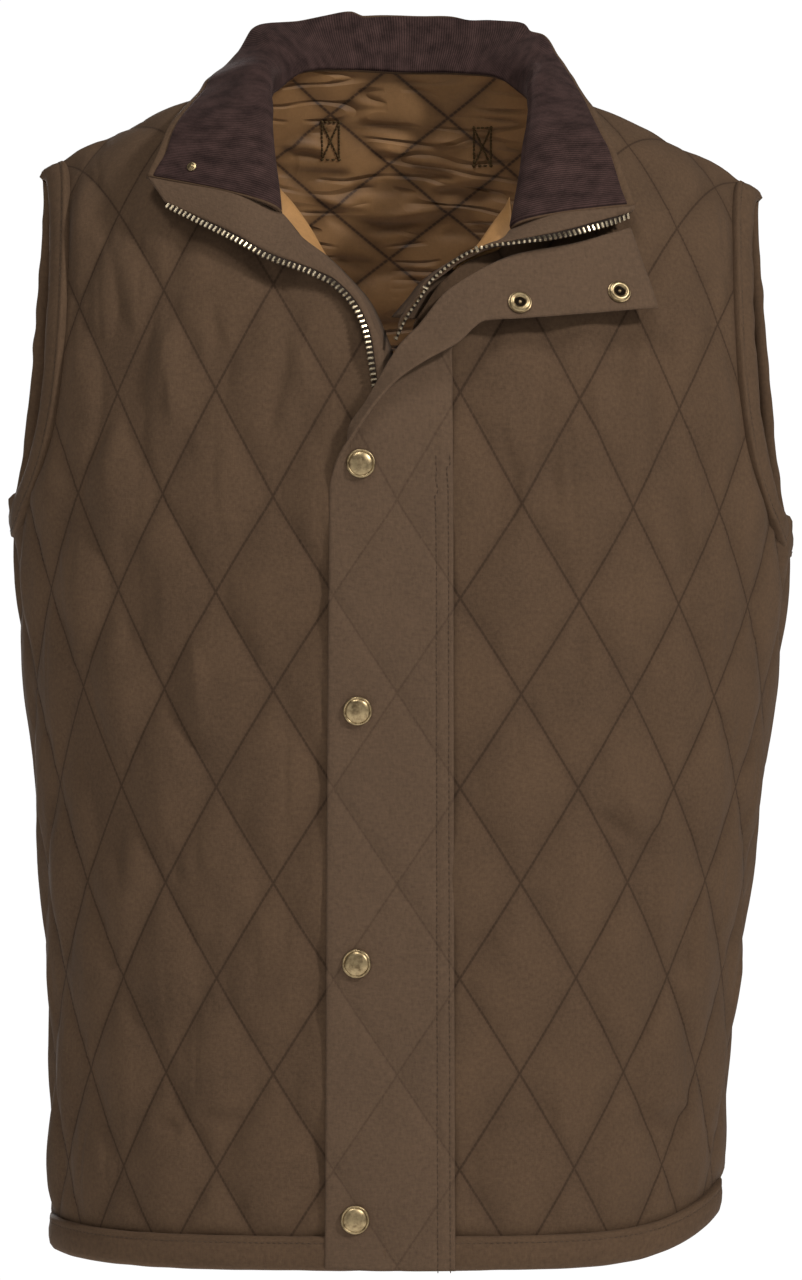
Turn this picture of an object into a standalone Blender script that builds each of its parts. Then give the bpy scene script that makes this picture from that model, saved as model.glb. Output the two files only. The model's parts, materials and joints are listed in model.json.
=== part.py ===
"""A sleeveless quilted cotton vest with a corduroy collar, filled out as if worn.

Metres, +Z up, +X to the wearer's left, the front faces -Y. The origin lies between the
shoulders, on the centre plane, at the height where the collar leaves the shoulder seams.

Every panel is a wall on one torso surface. A place on that surface is (u, s): u runs from the
centre line (0) to the side seams (-1 and 1), and s from the hem (-1) over the chest line (0)
to the shoulder seam (1).
"""
import math

import bpy
import numpy as np

# Driving sizes
CHEST_Z = -0.242
HEM_Z = -0.686
HEM_RISE = {-1: 0.006, 1: 0.028}
HEM_RISE_POWER = 6
BACK_HEM_LIFT = 0.004
RING_POWER = 2.0 / 2.3
NECK_HALF = 0.078
NECK_TOP_Z = 0.020
SHOULDER_HALF = 0.2255
SHOULDER_DROP = 0.0655
SHOULDER_BOW = 1.15
RIDGE_Y = 0.015
RIDGE_RISE = {"front": 0.010, "back": 0.050}
NECK_ARCH_POWER = 1.45
BACK_NECK_S = 0.685
BACK_NECK_POWER = 2.0
BACK_NECK_EASE = 1.5
LEAN = 0.0065
LEAN_FROM_Z = -0.45
LEAN_OVER = 0.20

SHELL = 0.0030
LINING = 0.0010
COLLAR_WALL = 0.0015
FACING_WALL = 0.0015
FLAP_WALL = 0.0022
TAPE_WALL = 0.0012
GAP = 0.0003
RIDGE_GAP = 0.6 * GAP
SEAM_U = 0.0006
CHEST_DIP = 0.03
BAND_PROUD = 0.0005
BAND_DEPTH = 0.0048
ARMHOLE_BAND = 0.016
BAND_GAP = 0.0008
ARMHOLE_TOP = 0.35
ARMHOLE_SPREAD = 1.15
TIP_SHORT = 0.03
TIP_ROOM = 0.7
HEM_BAND = 0.020
ZIP_X = -0.0024
ZIP_HALF = 0.0068
ZIP_CLOSED_TOP = -0.180
ZIP_FOOT = 0.001
EDGE_BELOW_HEM = 0.004
EDGE_STRAIGHT_TOP_Z = -0.20
SLIDER = {"nose_width": 0.0060, "width": 0.0100, "foot_width": 0.0084, "height": 0.0120,
          "nose_height": 0.0020, "nose_face": 0.0006, "face": 0.0014, "nose_back": 0.0022, "back": 0.0031,
          "tab_width": 0.0060, "tab_length": 0.0260}
SNAP_CAP = {"radius": 0.0085, "height": 0.0032}
SNAP_SOCKET = {"radius": 0.0068, "hole": 0.0030, "height": 0.0022}
SNAP_STUD = {"radius": 0.0028, "height": 0.0016}
SNAP_SEAT = 0.0005

# Profiles of the snaps from the foot up and in: share of the radius, share of the height
CAP_PROFILE = [(1.0, 0.0), (1.0, 0.35), (0.78, 0.75), (0.4, 1.0)]
SOCKET_PROFILE = [(1.0, 0.0), (0.94, 0.7), (0.7, 1.0)]
SOCKET_HOLE_PROFILE = [(1.0, 0.8), (1.0, 0.0)]
STUD_PROFILE = [(1.0, 0.0), (1.0, 0.5), (0.6, 1.0)]

# Body rings: height, half width, depth of the front, depth of the back, sideways swing
RINGS = np.array([
    (-0.700, 0.2008, 0.127, 0.127, -0.0105),
    (-0.580, 0.2034, 0.129, 0.124, -0.0070),
    (-0.500, 0.2091, 0.132, 0.123, -0.0045),
    (-0.420, 0.2169, 0.135, 0.125, -0.0020),
    (-0.360, 0.2238, 0.138, 0.128, -0.0005),
    (-0.300, 0.2297, 0.140, 0.131, 0.0),
    (-0.242, 0.2340, 0.141, 0.133, 0.0),
])
RING_FIT = [np.polyfit(RINGS[:, 0], RINGS[:, column], 4) for column in range(1, 5)]

# Armhole scoop: how far u falls short of the side, as depth * tau^rise * (1 - tau)^fall
ARMHOLE = {
    "front": {"depth": 0.72, "rise": 0.42, "fall": 1.5},
    "back": {"depth": 0.42, "rise": 0.42, "fall": 1.3},
}

# Edge of each front from the V up to the neck corner, where it rolls outward: x, z
ROLL_RIGHT = [(-0.0095, -0.163), (-0.0105, -0.150), (-0.0152, -0.135), (-0.0228, -0.118), (-0.0340, -0.104),
              (-0.0468, -0.091), (-0.0620, -0.079), (-0.0735, -0.068)]
ROLL_LEFT = [(0.0045, -0.163), (0.0055, -0.145), (0.0075, -0.130), (0.0220, -0.109), (0.0370, -0.096),
             (0.0560, -0.088), (0.0680, -0.078)]

# Collar edge from the wearer's right tip round the back to the left tip: x, y, z.
# At the two fronts y is left out, and the edge lies on the chest with the lift given instead.
COLLAR_FRONT_RIGHT = [(-0.1440, -0.0500, 0.0140), (-0.1330, -0.0240, 0.0140)]
COLLAR_BACK = [(-0.1230, 0.004, 0.0185), (-0.1110, 0.042, 0.0285), (-0.0900, 0.073, 0.0460),
               (-0.0560, 0.093, 0.0600), (-0.0200, 0.101, 0.0650), (0.0200, 0.101, 0.0640),
               (0.0540, 0.093, 0.0590), (0.0850, 0.073, 0.0460), (0.1010, 0.042, 0.0265),
               (0.1090, 0.004, 0.0165)]
COLLAR_FRONT_LEFT = [(0.1190, -0.0280, 0.0140), (0.1330, -0.0640, 0.0140)]
COLLAR_STAND = 0.016
COLLAR_SET_IN = 0.0028
COLLAR_START = 0.03
COLLAR_ROLL_IN = 0.002

# Turned-out facing of each front edge, tip to V: low edge x, z and its lift
FACING_RIGHT_LOW = [(-0.1350, -0.0640, 0.0110), (-0.0985, -0.0810, 0.0100), (-0.0775, -0.0925, 0.0085),
                    (-0.0590, -0.0990, 0.0070), (-0.0480, -0.1032, 0.0062), (-0.0375, -0.1085, 0.0055),
                    (-0.0258, -0.1208, 0.0048), (-0.0182, -0.1370, 0.0042), (-0.0145, -0.1520, 0.0038)]
FACING_LEFT_LOW = [(0.1316, -0.0735, 0.0120), (0.0965, -0.0840, 0.0120), (0.0700, -0.0898, 0.0110),
                   (0.0560, -0.0925, 0.0108), (0.0390, -0.1000, 0.0104), (0.0258, -0.1110, 0.0098),
                   (0.0125, -0.1285, 0.0090)]
FACING_ROLL_LIFT = 0.0028
FACING_GAP = 4 * GAP
OPEN_TAPE = 0.0045
OPEN_TAPE_GAP = 1.5 * GAP

# Storm flap, hem to collar: sewn edge x, z; fold x, z; free edge x, z; lift of sewn edge, fold and free edge
FLAP_ROWS = [
    (0.0316, -0.6840, -0.0120, -0.6840, -0.0445, -0.6830, 0.0021, 0.0021, 0.0021),
    (0.0313, -0.6000, -0.0120, -0.6000, -0.0440, -0.6000, 0.0021, 0.0021, 0.0021),
    (0.0310, -0.5150, -0.0120, -0.5150, -0.0436, -0.5150, 0.0021, 0.0021, 0.0021),
    (0.0308, -0.4300, -0.0120, -0.4300, -0.0432, -0.4300, 0.0021, 0.0021, 0.0021),
    (0.0306, -0.3450, -0.0120, -0.3450, -0.0426, -0.3450, 0.0021, 0.0021, 0.0021),
    (0.0305, -0.2750, -0.0120, -0.2750, -0.0420, -0.2750, 0.0021, 0.0024, 0.0021),
    (0.0304, -0.2290, -0.0160, -0.2290, -0.0415, -0.2290, 0.0021, 0.0040, 0.0030),
    (0.0303, -0.2130, -0.0300, -0.2120, -0.0378, -0.2140, 0.0021, 0.0050, 0.0070),
    (0.0302, -0.1980, -0.0300, -0.1962, -0.0262, -0.1975, 0.0021, 0.0068, 0.0105),
    (0.0300, -0.1800, -0.0205, -0.1800, -0.0130, -0.1790, 0.0021, 0.0075, 0.0120),
    (0.0300, -0.1640, -0.0115, -0.1640, -0.0006, -0.1665, 0.0021, 0.0080, 0.0125),
    (0.0295, -0.1500, -0.0022, -0.1484, 0.0158, -0.1560, 0.0021, 0.0085, 0.0125),
    (0.0310, -0.1400, 0.0105, -0.1345, 0.0310, -0.1475, 0.0021, 0.0060, 0.0125),
    (0.0420, -0.1240, 0.0275, -0.1140, 0.0490, -0.1330, 0.0021, 0.0070, 0.0120),
    (0.0680, -0.1040, 0.0660, -0.0940, 0.0720, -0.1316, 0.0025, 0.0075, 0.0115),
    (0.0990, -0.0980, 0.0970, -0.0880, 0.1080, -0.1285, 0.0030, 0.0080, 0.0115),
    (0.1330, -0.0880, 0.1320, -0.0780, 0.1463, -0.1249, 0.0035, 0.0080, 0.0110),
]
FLAP_ACROSS = 3

# Places of the snaps on the flap: x, z
SNAP_CAPS = [(-0.0234, -0.2150), (-0.0252, -0.3583), (-0.0263, -0.5069), (-0.0275, -0.6555)]
SNAP_SOCKETS = [(0.0690, -0.1195), (0.1281, -0.1126)]
STUD_STATION = 0.25
STUD_WIDTH_SHARE = 0.70
ROUND_SIDES = 14

PANEL_COLUMNS = 8
NECK_COLUMNS = 3
SIDE_COLUMNS = 5
BACK_COLUMNS = 2 * (NECK_COLUMNS + SIDE_COLUMNS)
LOW_ROWS = 8
HIGH_ROWS = 14
EDGE_ROWS = 8
ZIP_ROWS = 9
COLLAR_ROWS = 4
COLLAR_FRONT_STATIONS = 3
SHARP_ANGLE = math.radians(40)

# Search for a place on the fronts: share of the height for a first guess, steps, limits of s
FIRST_GUESS = 0.8
SEARCH_STEPS = 12
SEARCH_LIMITS = (-1.1, 0.99)
GRID_SEARCH = 41

COLOURS = {
    "shell": (0.107, 0.068, 0.042, 0.75, 0.0),
    "lining": (0.240, 0.130, 0.045, 0.80, 0.0),
    "corduroy": (0.045, 0.026, 0.022, 0.95, 0.0),
    "tape": (0.050, 0.035, 0.025, 0.85, 0.0),
    "brass": (0.400, 0.300, 0.150, 0.40, 1.0),
}


def clear_scene():
    for old in list(bpy.data.objects):
        bpy.data.objects.remove(old, do_unlink=True)


def make_material(name):
    red, green, blue, roughness, metallic = COLOURS[name]
    material = bpy.data.materials.new(name)
    material.use_nodes = True
    shader = material.node_tree.nodes["Principled BSDF"]
    shader.inputs["Base Color"].default_value = (red, green, blue, 1.0)
    shader.inputs["Roughness"].default_value = roughness
    shader.inputs["Metallic"].default_value = metallic
    return material


def ring(z, u, face):
    """Point of the body ring at height z."""
    half, front, back, swing = [np.polyval(fit, z) for fit in RING_FIT]
    angle = u * math.pi / 2
    depth = back if face == "back" else -front
    across = np.sign(np.sin(angle)) * np.abs(np.sin(angle)) ** RING_POWER
    along = np.sign(np.cos(angle)) * np.abs(np.cos(angle)) ** RING_POWER
    return np.stack([swing + half * across, depth * along, z], axis=-1)


def ridge(u, face):
    """Point of the shoulder line; over the neck it is only a guide for the columns below."""
    x = SHOULDER_HALF * u
    slope = np.clip((np.abs(x) - NECK_HALF) / (SHOULDER_HALF - NECK_HALF), 0, None) ** SHOULDER_BOW
    arch = np.clip(1 - (x / NECK_HALF) ** 2, 0, None) ** NECK_ARCH_POWER
    z = NECK_TOP_Z - SHOULDER_DROP * slope + RIDGE_RISE[face] * arch
    gap = RIDGE_GAP if face == "back" else -RIDGE_GAP
    return np.stack([x, np.full_like(x, RIDGE_Y + gap), z], axis=-1)


def hem_height(u, face):
    rise = np.where(u < 0, HEM_RISE[-1], HEM_RISE[1])
    lift = BACK_HEM_LIFT * (1 - u ** 2) if face == "back" else 0.0
    return HEM_Z + rise * np.sin(u * math.pi / 2) ** HEM_RISE_POWER + lift


def torso(u, s, face):
    """Outer face of the cloth at (u, s)."""
    u, s = np.broadcast_arrays(np.asarray(u, float), np.asarray(s, float))
    low = ring(CHEST_Z + (CHEST_Z - hem_height(u, face)) * np.minimum(s, 0), u, face)
    chest = ring(np.full_like(u, CHEST_Z), u, face)
    top = ridge(u, face)
    turn = (np.clip(s, 0, None) * math.pi / 2)[..., None]
    part = np.where(np.arange(3) == 2, np.sin(turn), 1 - np.cos(turn))
    point = np.where(s[..., None] > 0, chest + (top - chest) * part, low)
    share = np.clip((point[..., 2] - LEAN_FROM_Z) / LEAN_OVER, 0, 1)
    share = share * share * (3 - 2 * share)
    point[..., 2] -= LEAN * share * point[..., 0] / SHOULDER_HALF
    return point


def slopes(u, s, face, step=0.002):
    across = (torso(u + step, s, face) - torso(u - step, s, face)) / (2 * step)
    upward = (torso(u, s + step, face) - torso(u, s - step, face)) / (2 * step)
    return across, upward


def cloth(u, s, face, lift):
    """Point at (u, s) moved out of the surface by lift."""
    u, s = np.broadcast_arrays(np.asarray(u, float), np.asarray(s, float))
    across, upward = slopes(u, s, face)
    normal = np.cross(across, upward)
    if face == "back":
        normal = -normal
    normal /= np.linalg.norm(normal, axis=-1, keepdims=True)
    return torso(u, s, face) + normal * np.asarray(lift, float)[..., None]


def find_front(x, z):
    """(u, s) of the place on the fronts that lies at x and z."""
    x, z = np.asarray(x, float), np.asarray(z, float)
    u = x / SHOULDER_HALF
    s = np.where(z < CHEST_Z, (z - CHEST_Z) / (CHEST_Z - HEM_Z), (z - CHEST_Z) / -CHEST_Z * FIRST_GUESS)
    for _ in range(SEARCH_STEPS):
        across, upward = slopes(u, s, "front")
        miss = torso(u, s, "front") - np.stack([x, x * 0, z], axis=-1)
        det = across[..., 0] * upward[..., 2] - upward[..., 0] * across[..., 2]
        u = u - (miss[..., 0] * upward[..., 2] - upward[..., 0] * miss[..., 2]) / det
        s = s - (across[..., 0] * miss[..., 2] - miss[..., 0] * across[..., 2]) / det
        s = np.clip(s, *SEARCH_LIMITS)
    return u, s


def on_front(x, z, lift):
    u, s = find_front(x, z)
    return cloth(u, s, "front", lift)


def armhole(side, face, inset):
    """(u, s) along an armhole, underarm to shoulder, set in from its edge by inset."""
    shape = ARMHOLE[face]
    tau = np.linspace(0, 1, HIGH_ROWS + 1) ** ARMHOLE_SPREAD
    tau = tau * tau * (3 - 2 * tau)
    step = 0.0005
    edge = []
    for shift in (0.0, -step, step):
        at = np.clip(tau + shift, 0, 1)
        scoop = shape["depth"] * at ** shape["rise"] * (1 - at) ** shape["fall"] + TIP_SHORT * at
        edge.append((side * (1 - scoop), at))
    u, s = edge[0]
    along = torso(*edge[2], face) - torso(*edge[1], face)
    across, upward = slopes(u, s, face)
    normal = np.cross(across, upward)
    inward = np.cross(normal, along)
    inward /= np.linalg.norm(inward, axis=-1, keepdims=True)
    inward *= np.sign((inward * across).sum(-1) * -side + 1e-9)[:, None]
    level = -side * across / np.linalg.norm(across, axis=-1, keepdims=True)
    share = np.clip((1 - tau) / ARMHOLE_TOP, 0, 1)[:, None]
    inward = inward * share + level * (1 - share)
    inward /= np.linalg.norm(inward, axis=-1, keepdims=True)
    inward[0] = -upward[0] / np.linalg.norm(upward[0])
    du, ds = [], []
    for k in range(len(tau)):
        move, *_ = np.linalg.lstsq(np.stack([across[k], upward[k]], axis=1), inward[k] * inset, rcond=None)
        du.append(move[0])
        ds.append(move[1])
    u_in = u + np.array(du)
    s_in = np.minimum(s + np.array(ds), 1 - TIP_ROOM * (1 - tau))
    u_in[0] = side * (1 - (SEAM_U if inset else 0))
    s_in[-1] = 1.0
    return u_in, s_in


def front_edge(side):
    """(u, s) up the inner edge of a front: centre, roll line, neck, shoulder."""
    roll = ROLL_RIGHT if side < 0 else ROLL_LEFT
    low_z = np.linspace(HEM_Z - EDGE_BELOW_HEM, EDGE_STRAIGHT_TOP_Z, EDGE_ROWS)
    low_x = np.full_like(low_z, ZIP_X + side * ZIP_HALF)
    x = np.concatenate([low_x, [row[0] for row in roll]])
    z = np.concatenate([low_z, [row[1] for row in roll]])
    u, s = find_front(x, z)
    neck_u = side * NECK_HALF / SHOULDER_HALF
    return np.append(u, neck_u), np.append(s, 1.0)


def centre_rows(base_s, low):
    """s of every row at the centre line, a little lower at the chest than under the arm."""
    chest = low[-1] + (low[-1] - low[-2]) - CHEST_DIP
    below = np.linspace(base_s, chest, LOW_ROWS + 1)[:-1]
    return np.concatenate([below, np.linspace(chest, 1, HIGH_ROWS + 1)])


def front_grid(side, base_s):
    edge_u, edge_s = front_edge(side)
    out_u, out_s = armhole(side, "front", ARMHOLE_BAND + BAND_GAP)
    low = np.linspace(base_s, out_s[0], LOW_ROWS + 1)[:-1]
    out_u = np.concatenate([np.full_like(low, side * (1 - SEAM_U)), out_u])
    out_s = np.concatenate([low, out_s])
    in_s = centre_rows(base_s, low)
    in_u = np.interp(in_s, edge_s, edge_u)
    v = np.linspace(0, 1, PANEL_COLUMNS + 1)
    return in_u[:, None] * (1 - v) + out_u[:, None] * v, in_s[:, None] * (1 - v) + out_s[:, None] * v


def neck_limit(u):
    """Top of the back at u: the shoulder seam, or the neckline inside it."""
    neck_u = NECK_HALF / SHOULDER_HALF
    inside = np.clip(np.abs(u) / neck_u, 0, 1) ** BACK_NECK_POWER
    return BACK_NECK_S + (1 - BACK_NECK_S) * inside


def back_grid(base_s):
    sides = []
    for side in (-1, 1):
        out_u, out_s = armhole(side, "back", ARMHOLE_BAND + BAND_GAP)
        low = np.linspace(base_s, out_s[0], LOW_ROWS + 1)[:-1]
        out_u = np.concatenate([np.full_like(low, side * (1 - SEAM_U)), out_u])
        sides.append((out_u[:, None], np.concatenate([low, out_s])[:, None]))
    neck_v = NECK_HALF / SHOULDER_HALF / sides[1][0][-1, 0]
    neck = np.linspace(0, neck_v, NECK_COLUMNS + 1)
    half = np.concatenate([neck, np.linspace(neck_v, 1, SIDE_COLUMNS + 1)[1:]])
    v = np.concatenate([-half[:0:-1], half])
    u = sides[0][0] * (1 - v) / 2 + sides[1][0] * (1 + v) / 2
    even = centre_rows(base_s, low)[:, None]
    s = even + (np.where(v < 0, sides[0][1], sides[1][1]) - even) * v ** 2
    share = np.clip(even, 0, 1) ** BACK_NECK_EASE
    return u, s * (1 - share * (1 - neck_limit(u)))


def add_object(name, points, faces, material):
    mesh = bpy.data.meshes.new(name)
    mesh.from_pydata([tuple(point) for point in points], [], faces)
    mesh.validate()
    mesh.materials.append(make_material(material))
    mesh.shade_smooth()
    mesh.set_sharp_from_angle(angle=SHARP_ANGLE)
    item = bpy.data.objects.new(name, mesh)
    bpy.context.scene.collection.objects.link(item)
    return item


def volume(points, faces):
    corners = points[np.array(faces)]
    return np.einsum("ij,ij->", corners[:, 0], np.cross(corners[:, 1], corners[:, 2]))


def halves(a, b, c, d):
    """Two triangles of a cell, split from its first corner."""
    return [[a, b, c], [a, c, d]]


def wall(name, outer, inner, material, loop=False):
    """Closed solid between two grids of points; with loop, the rows run round and meet.

    Every cell is split along the same diagonal, so that walls on one grid keep their gap.
    """
    rows, columns = outer.shape[:2]
    points = np.concatenate([outer.reshape(-1, 3), inner.reshape(-1, 3)])
    under = rows * columns
    last = columns - 1
    faces = []
    for i in range(rows if loop else rows - 1):
        here, there = i * columns, (i + 1) % rows * columns
        for k in range(last):
            faces += halves(here + k, here + k + 1, there + k + 1, there + k)
            faces += halves(under + here + k, under + there + k, under + there + k + 1, under + here + k + 1)
        faces += halves(here, there, under + there, under + here)
        faces += halves(here + last, under + here + last, under + there + last, there + last)
    if not loop:
        top = (rows - 1) * columns
        for k in range(last):
            faces += halves(k, under + k, under + k + 1, k + 1)
            faces += halves(top + k, top + k + 1, under + top + k + 1, under + top + k)
    if volume(points, faces) < 0:
        faces = [face[::-1] for face in faces]
    return add_object(name, points, faces, material)


def panel(name, u, s, face, high, low, material):
    """Wall on the torso surface between two lifts."""
    outer, inner = [cloth(u, s, face, np.full(u.shape, lift)) for lift in (high, low)]
    return wall(name, outer, inner, material)


def make_panels():
    base_s = -1 + (HEM_BAND + GAP) / (CHEST_Z - HEM_Z)
    grids = {"back": ("back", back_grid(base_s)), "front_right": ("front", front_grid(-1, base_s)),
             "front_left": ("front", front_grid(1, base_s))}
    for name, (face, (u, s)) in grids.items():
        panel(name, u, s, face, 0.0, -SHELL, "shell")
        panel("lining_" + name, u, s, face, -SHELL - GAP, -SHELL - GAP - LINING, "lining")


def make_bands():
    for side, name in ((1, "left"), (-1, "right")):
        stations = []
        for inset in (0.0, ARMHOLE_BAND):
            front_u, front_s = armhole(side, "front", inset)
            back_u, back_s = armhole(side, "back", inset)
            walls = []
            for lift in (BAND_PROUD, -BAND_DEPTH):
                front = cloth(front_u, front_s, "front", np.full(front_u.shape, lift))
                back = cloth(back_u, back_s, "back", np.full(back_u.shape, lift))
                walls.append(np.concatenate([front, back[-2:0:-1]]))
            stations.append(walls)
        outer = np.stack([stations[0][0], stations[1][0]], axis=1)
        inner = np.stack([stations[0][1], stations[1][1]], axis=1)
        wall("armhole_band_" + name, outer, inner, "shell", loop=True)
    s = np.array([-1.0, -1 + HEM_BAND / (CHEST_Z - HEM_Z)])
    for side, name in ((1, "left"), (-1, "right")):
        edge_u, edge_s = front_edge(side)
        start = np.interp(s, edge_s, edge_u)
        v = np.linspace(0, 1, PANEL_COLUMNS + 1)
        u = start[:, None] * (1 - v) + side * (1 - SEAM_U) * v
        panel("hem_band_" + name, u, s[:, None] + u * 0, "front", BAND_PROUD, -BAND_DEPTH, "shell")
    u = np.linspace(-1 + SEAM_U, 1 - SEAM_U, BACK_COLUMNS + 1)[None, :] + s[:, None] * 0
    panel("hem_band_back", u, s[:, None] + u * 0, "back", BAND_PROUD, -BAND_DEPTH, "shell")


def neck_seam():
    """Points, surface normals and inward directions of the neck seam, round the back from right to left."""
    neck_u = NECK_HALF / SHOULDER_HALF
    places = []
    for side, order in ((-1, 1), (1, -1)):
        edge_u, edge_s = front_edge(side)
        corner = edge_s[-2]
        s = np.linspace(corner + COLLAR_START, 1, COLLAR_FRONT_STATIONS + 1)[:-1][::order]
        places.append([("front", np.interp(value, edge_s, edge_u), value) for value in s])
    back_u = np.linspace(-neck_u, neck_u, 2 * NECK_COLUMNS + 1)
    middle = [("back", value, float(neck_limit(value))) for value in back_u]
    seam = places[0] + middle + places[1]
    base, normals = [], []
    for face, u, s in seam:
        low = cloth(u, s, face, 0.0)
        base.append(low)
        normals.append(cloth(u, s, face, 1.0) - low)
    base, normals = np.array(base), np.array(normals)
    along = np.gradient(base, axis=0)
    inward = np.cross(along, normals)
    inward /= np.linalg.norm(inward, axis=1, keepdims=True)
    return base, normals, inward


def collar_grid():
    """Middle surface of the collar, one row for each station round the neck, and its normals."""
    base, normals, inward = neck_seam()
    edge = []
    for rows in (COLLAR_FRONT_RIGHT, COLLAR_BACK, COLLAR_FRONT_LEFT):
        for x, second, third in rows:
            if rows is COLLAR_BACK:
                edge.append(np.array([x, second, third]))
            else:
                edge.append(on_front(np.array([x]), np.array([second]), np.array([third]))[0])
    edge = np.array(edge)
    spots = np.linspace(0, len(edge) - 1, len(base))
    edge = np.stack([np.interp(spots, range(len(edge)), edge[:, axis]) for axis in range(3)], axis=1)
    foot = base + inward * COLLAR_SET_IN
    crest = foot + normals * COLLAR_STAND + inward * COLLAR_ROLL_IN
    w = np.linspace(0, 1, COLLAR_ROWS + 1)[None, :, None]
    grid = foot[:, None] * (1 - w) ** 2 + crest[:, None] * 2 * w * (1 - w) + edge[:, None] * w ** 2
    normal = np.cross(np.gradient(grid, axis=0), np.gradient(grid, axis=1))
    normal /= np.linalg.norm(normal, axis=2, keepdims=True)
    return grid, normal


def make_collar():
    grid, normal = collar_grid()
    half = GAP / 2
    thick = half + COLLAR_WALL
    wall("collar_shell", grid - normal * half, grid - normal * thick, "shell")
    wall("collar_corduroy", grid + normal * half, grid + normal * thick, "corduroy")
    return grid, normal


def make_facings(collar):
    """Facing strips of the turned-out fronts, with the open zip half along each low edge."""
    plans = (("right", collar[0], ROLL_RIGHT, FACING_RIGHT_LOW),
             ("left", collar[-1], ROLL_LEFT, FACING_LEFT_LOW))
    for name, end, roll, low_rows in plans:
        low = on_front(*np.array(low_rows).T)
        roll_x, roll_z = np.array(roll[::-1][1:len(low_rows) - 2]).T
        turned_edge = on_front(roll_x, roll_z, np.full(len(roll_x), FACING_ROLL_LIFT))
        high = np.concatenate([end[[-1, len(end) // 2, 0]], turned_edge])
        down = low - high
        down /= np.linalg.norm(down, axis=1, keepdims=True)
        high = high + down * FACING_GAP
        along = np.gradient(low, axis=0)
        normal = np.cross(along, down)
        normal /= np.linalg.norm(normal, axis=1, keepdims=True)
        normal *= -np.sign(normal[:, 1:2])
        strips = (("facing_" + name, high, low, FACING_WALL, "shell"),
                  ("zip_open_" + name, low + down * OPEN_TAPE_GAP, low + down * OPEN_TAPE, TAPE_WALL, "tape"))
        for node, first, second, thick, material in strips:
            grid = np.stack([first, (first + second) / 2, second], axis=1)
            offset = normal[:, None] * thick / 2
            wall(node, grid + offset, grid - offset, material)


def make_flap():
    """Storm flap: sewn edge, fold, free edge, one row for each section; returns its middle surface."""
    rows = np.array(FLAP_ROWS)
    sewn, fold, free = [on_front(rows[:, k], rows[:, k + 1], rows[:, 6 + k // 2]) for k in (0, 2, 4)]
    w = np.linspace(0, 1, FLAP_ACROSS + 1)[None, :, None]
    first = sewn[:, None] * (1 - w) + fold[:, None] * w
    second = fold[:, None] * (1 - w) + free[:, None] * w
    grid = np.concatenate([first, second[:, 1:]], axis=1)
    normal = np.cross(np.gradient(grid, axis=0), np.gradient(grid, axis=1))
    normal /= np.linalg.norm(normal, axis=2, keepdims=True)
    wall("storm_flap", grid + normal * FLAP_WALL / 2, grid - normal * FLAP_WALL / 2, "shell")
    return grid


def make_zip():
    z = np.linspace(HEM_Z + ZIP_FOOT, ZIP_CLOSED_TOP, ZIP_ROWS)
    half = ZIP_HALF - 2 * GAP
    x = ZIP_X + np.array([-half, 0.0, half])
    u, s = find_front(x[None, :] + z[:, None] * 0, z[:, None] + x[None, :] * 0)
    panel("zip_closed", u, s, "front", -GAP, -GAP - TAPE_WALL, "tape")
    foot = ZIP_CLOSED_TOP + 2 * GAP
    top = foot + SLIDER["height"]
    tab_foot = foot - SLIDER["tab_length"]
    # Down the slider: height, width, lift of the face, lift of the back
    stations = [
        (top, SLIDER["nose_width"], SLIDER["nose_face"], -SLIDER["nose_back"]),
        (top - SLIDER["nose_height"], SLIDER["width"], SLIDER["face"], -SLIDER["back"]),
        (foot, SLIDER["foot_width"], SLIDER["face"], -SLIDER["back"]),
        (foot - GAP, SLIDER["tab_width"], SLIDER["face"], GAP),
        (tab_foot, SLIDER["tab_width"], SLIDER["face"], GAP),
    ]
    high, low = [], []
    for height, width, face, back in stations:
        x = np.array([ZIP_X - width / 2, ZIP_X + width / 2])
        high.append(on_front(x, np.full(2, height), np.full(2, face)))
        low.append(on_front(x, np.full(2, height), np.full(2, back)))
    wall("zip_slider", np.array(high), np.array(low), "brass")


def turned(name, centre, normal, profile, material, ring=False):
    """Round piece about a normal; profile rows are radius and height, from the foot up and in."""
    side = np.cross(normal, (0.0, 0.0, 1.0))
    side /= np.linalg.norm(side)
    other = np.cross(normal, side)
    angles = np.linspace(0, 2 * math.pi, ROUND_SIDES, endpoint=False)
    round_way = np.outer(np.cos(angles), side) + np.outer(np.sin(angles), other)
    points = []
    for radius, height in profile:
        points.extend(centre + normal * height + radius * round_way)
    faces = []
    count = len(profile)
    for i in range(count if ring else count - 1):
        for k in range(ROUND_SIDES):
            here, there = i * ROUND_SIDES, (i + 1) % count * ROUND_SIDES
            turn = (k + 1) % ROUND_SIDES
            faces.extend([[here + k, here + turn, there + turn], [here + k, there + turn, there + k]])
    if not ring:
        foot, crown = len(points), len(points) + 1
        points.extend([centre + normal * profile[0][1], centre + normal * profile[-1][1]])
        last = (count - 1) * ROUND_SIDES
        for k in range(ROUND_SIDES):
            turn = (k + 1) % ROUND_SIDES
            faces.extend([[foot, turn, k], [crown, last + k, last + turn]])
    points = np.array(points)
    if volume(points, faces) < 0:
        faces = [face[::-1] for face in faces]
    return add_object(name, points, faces, material)


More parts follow.
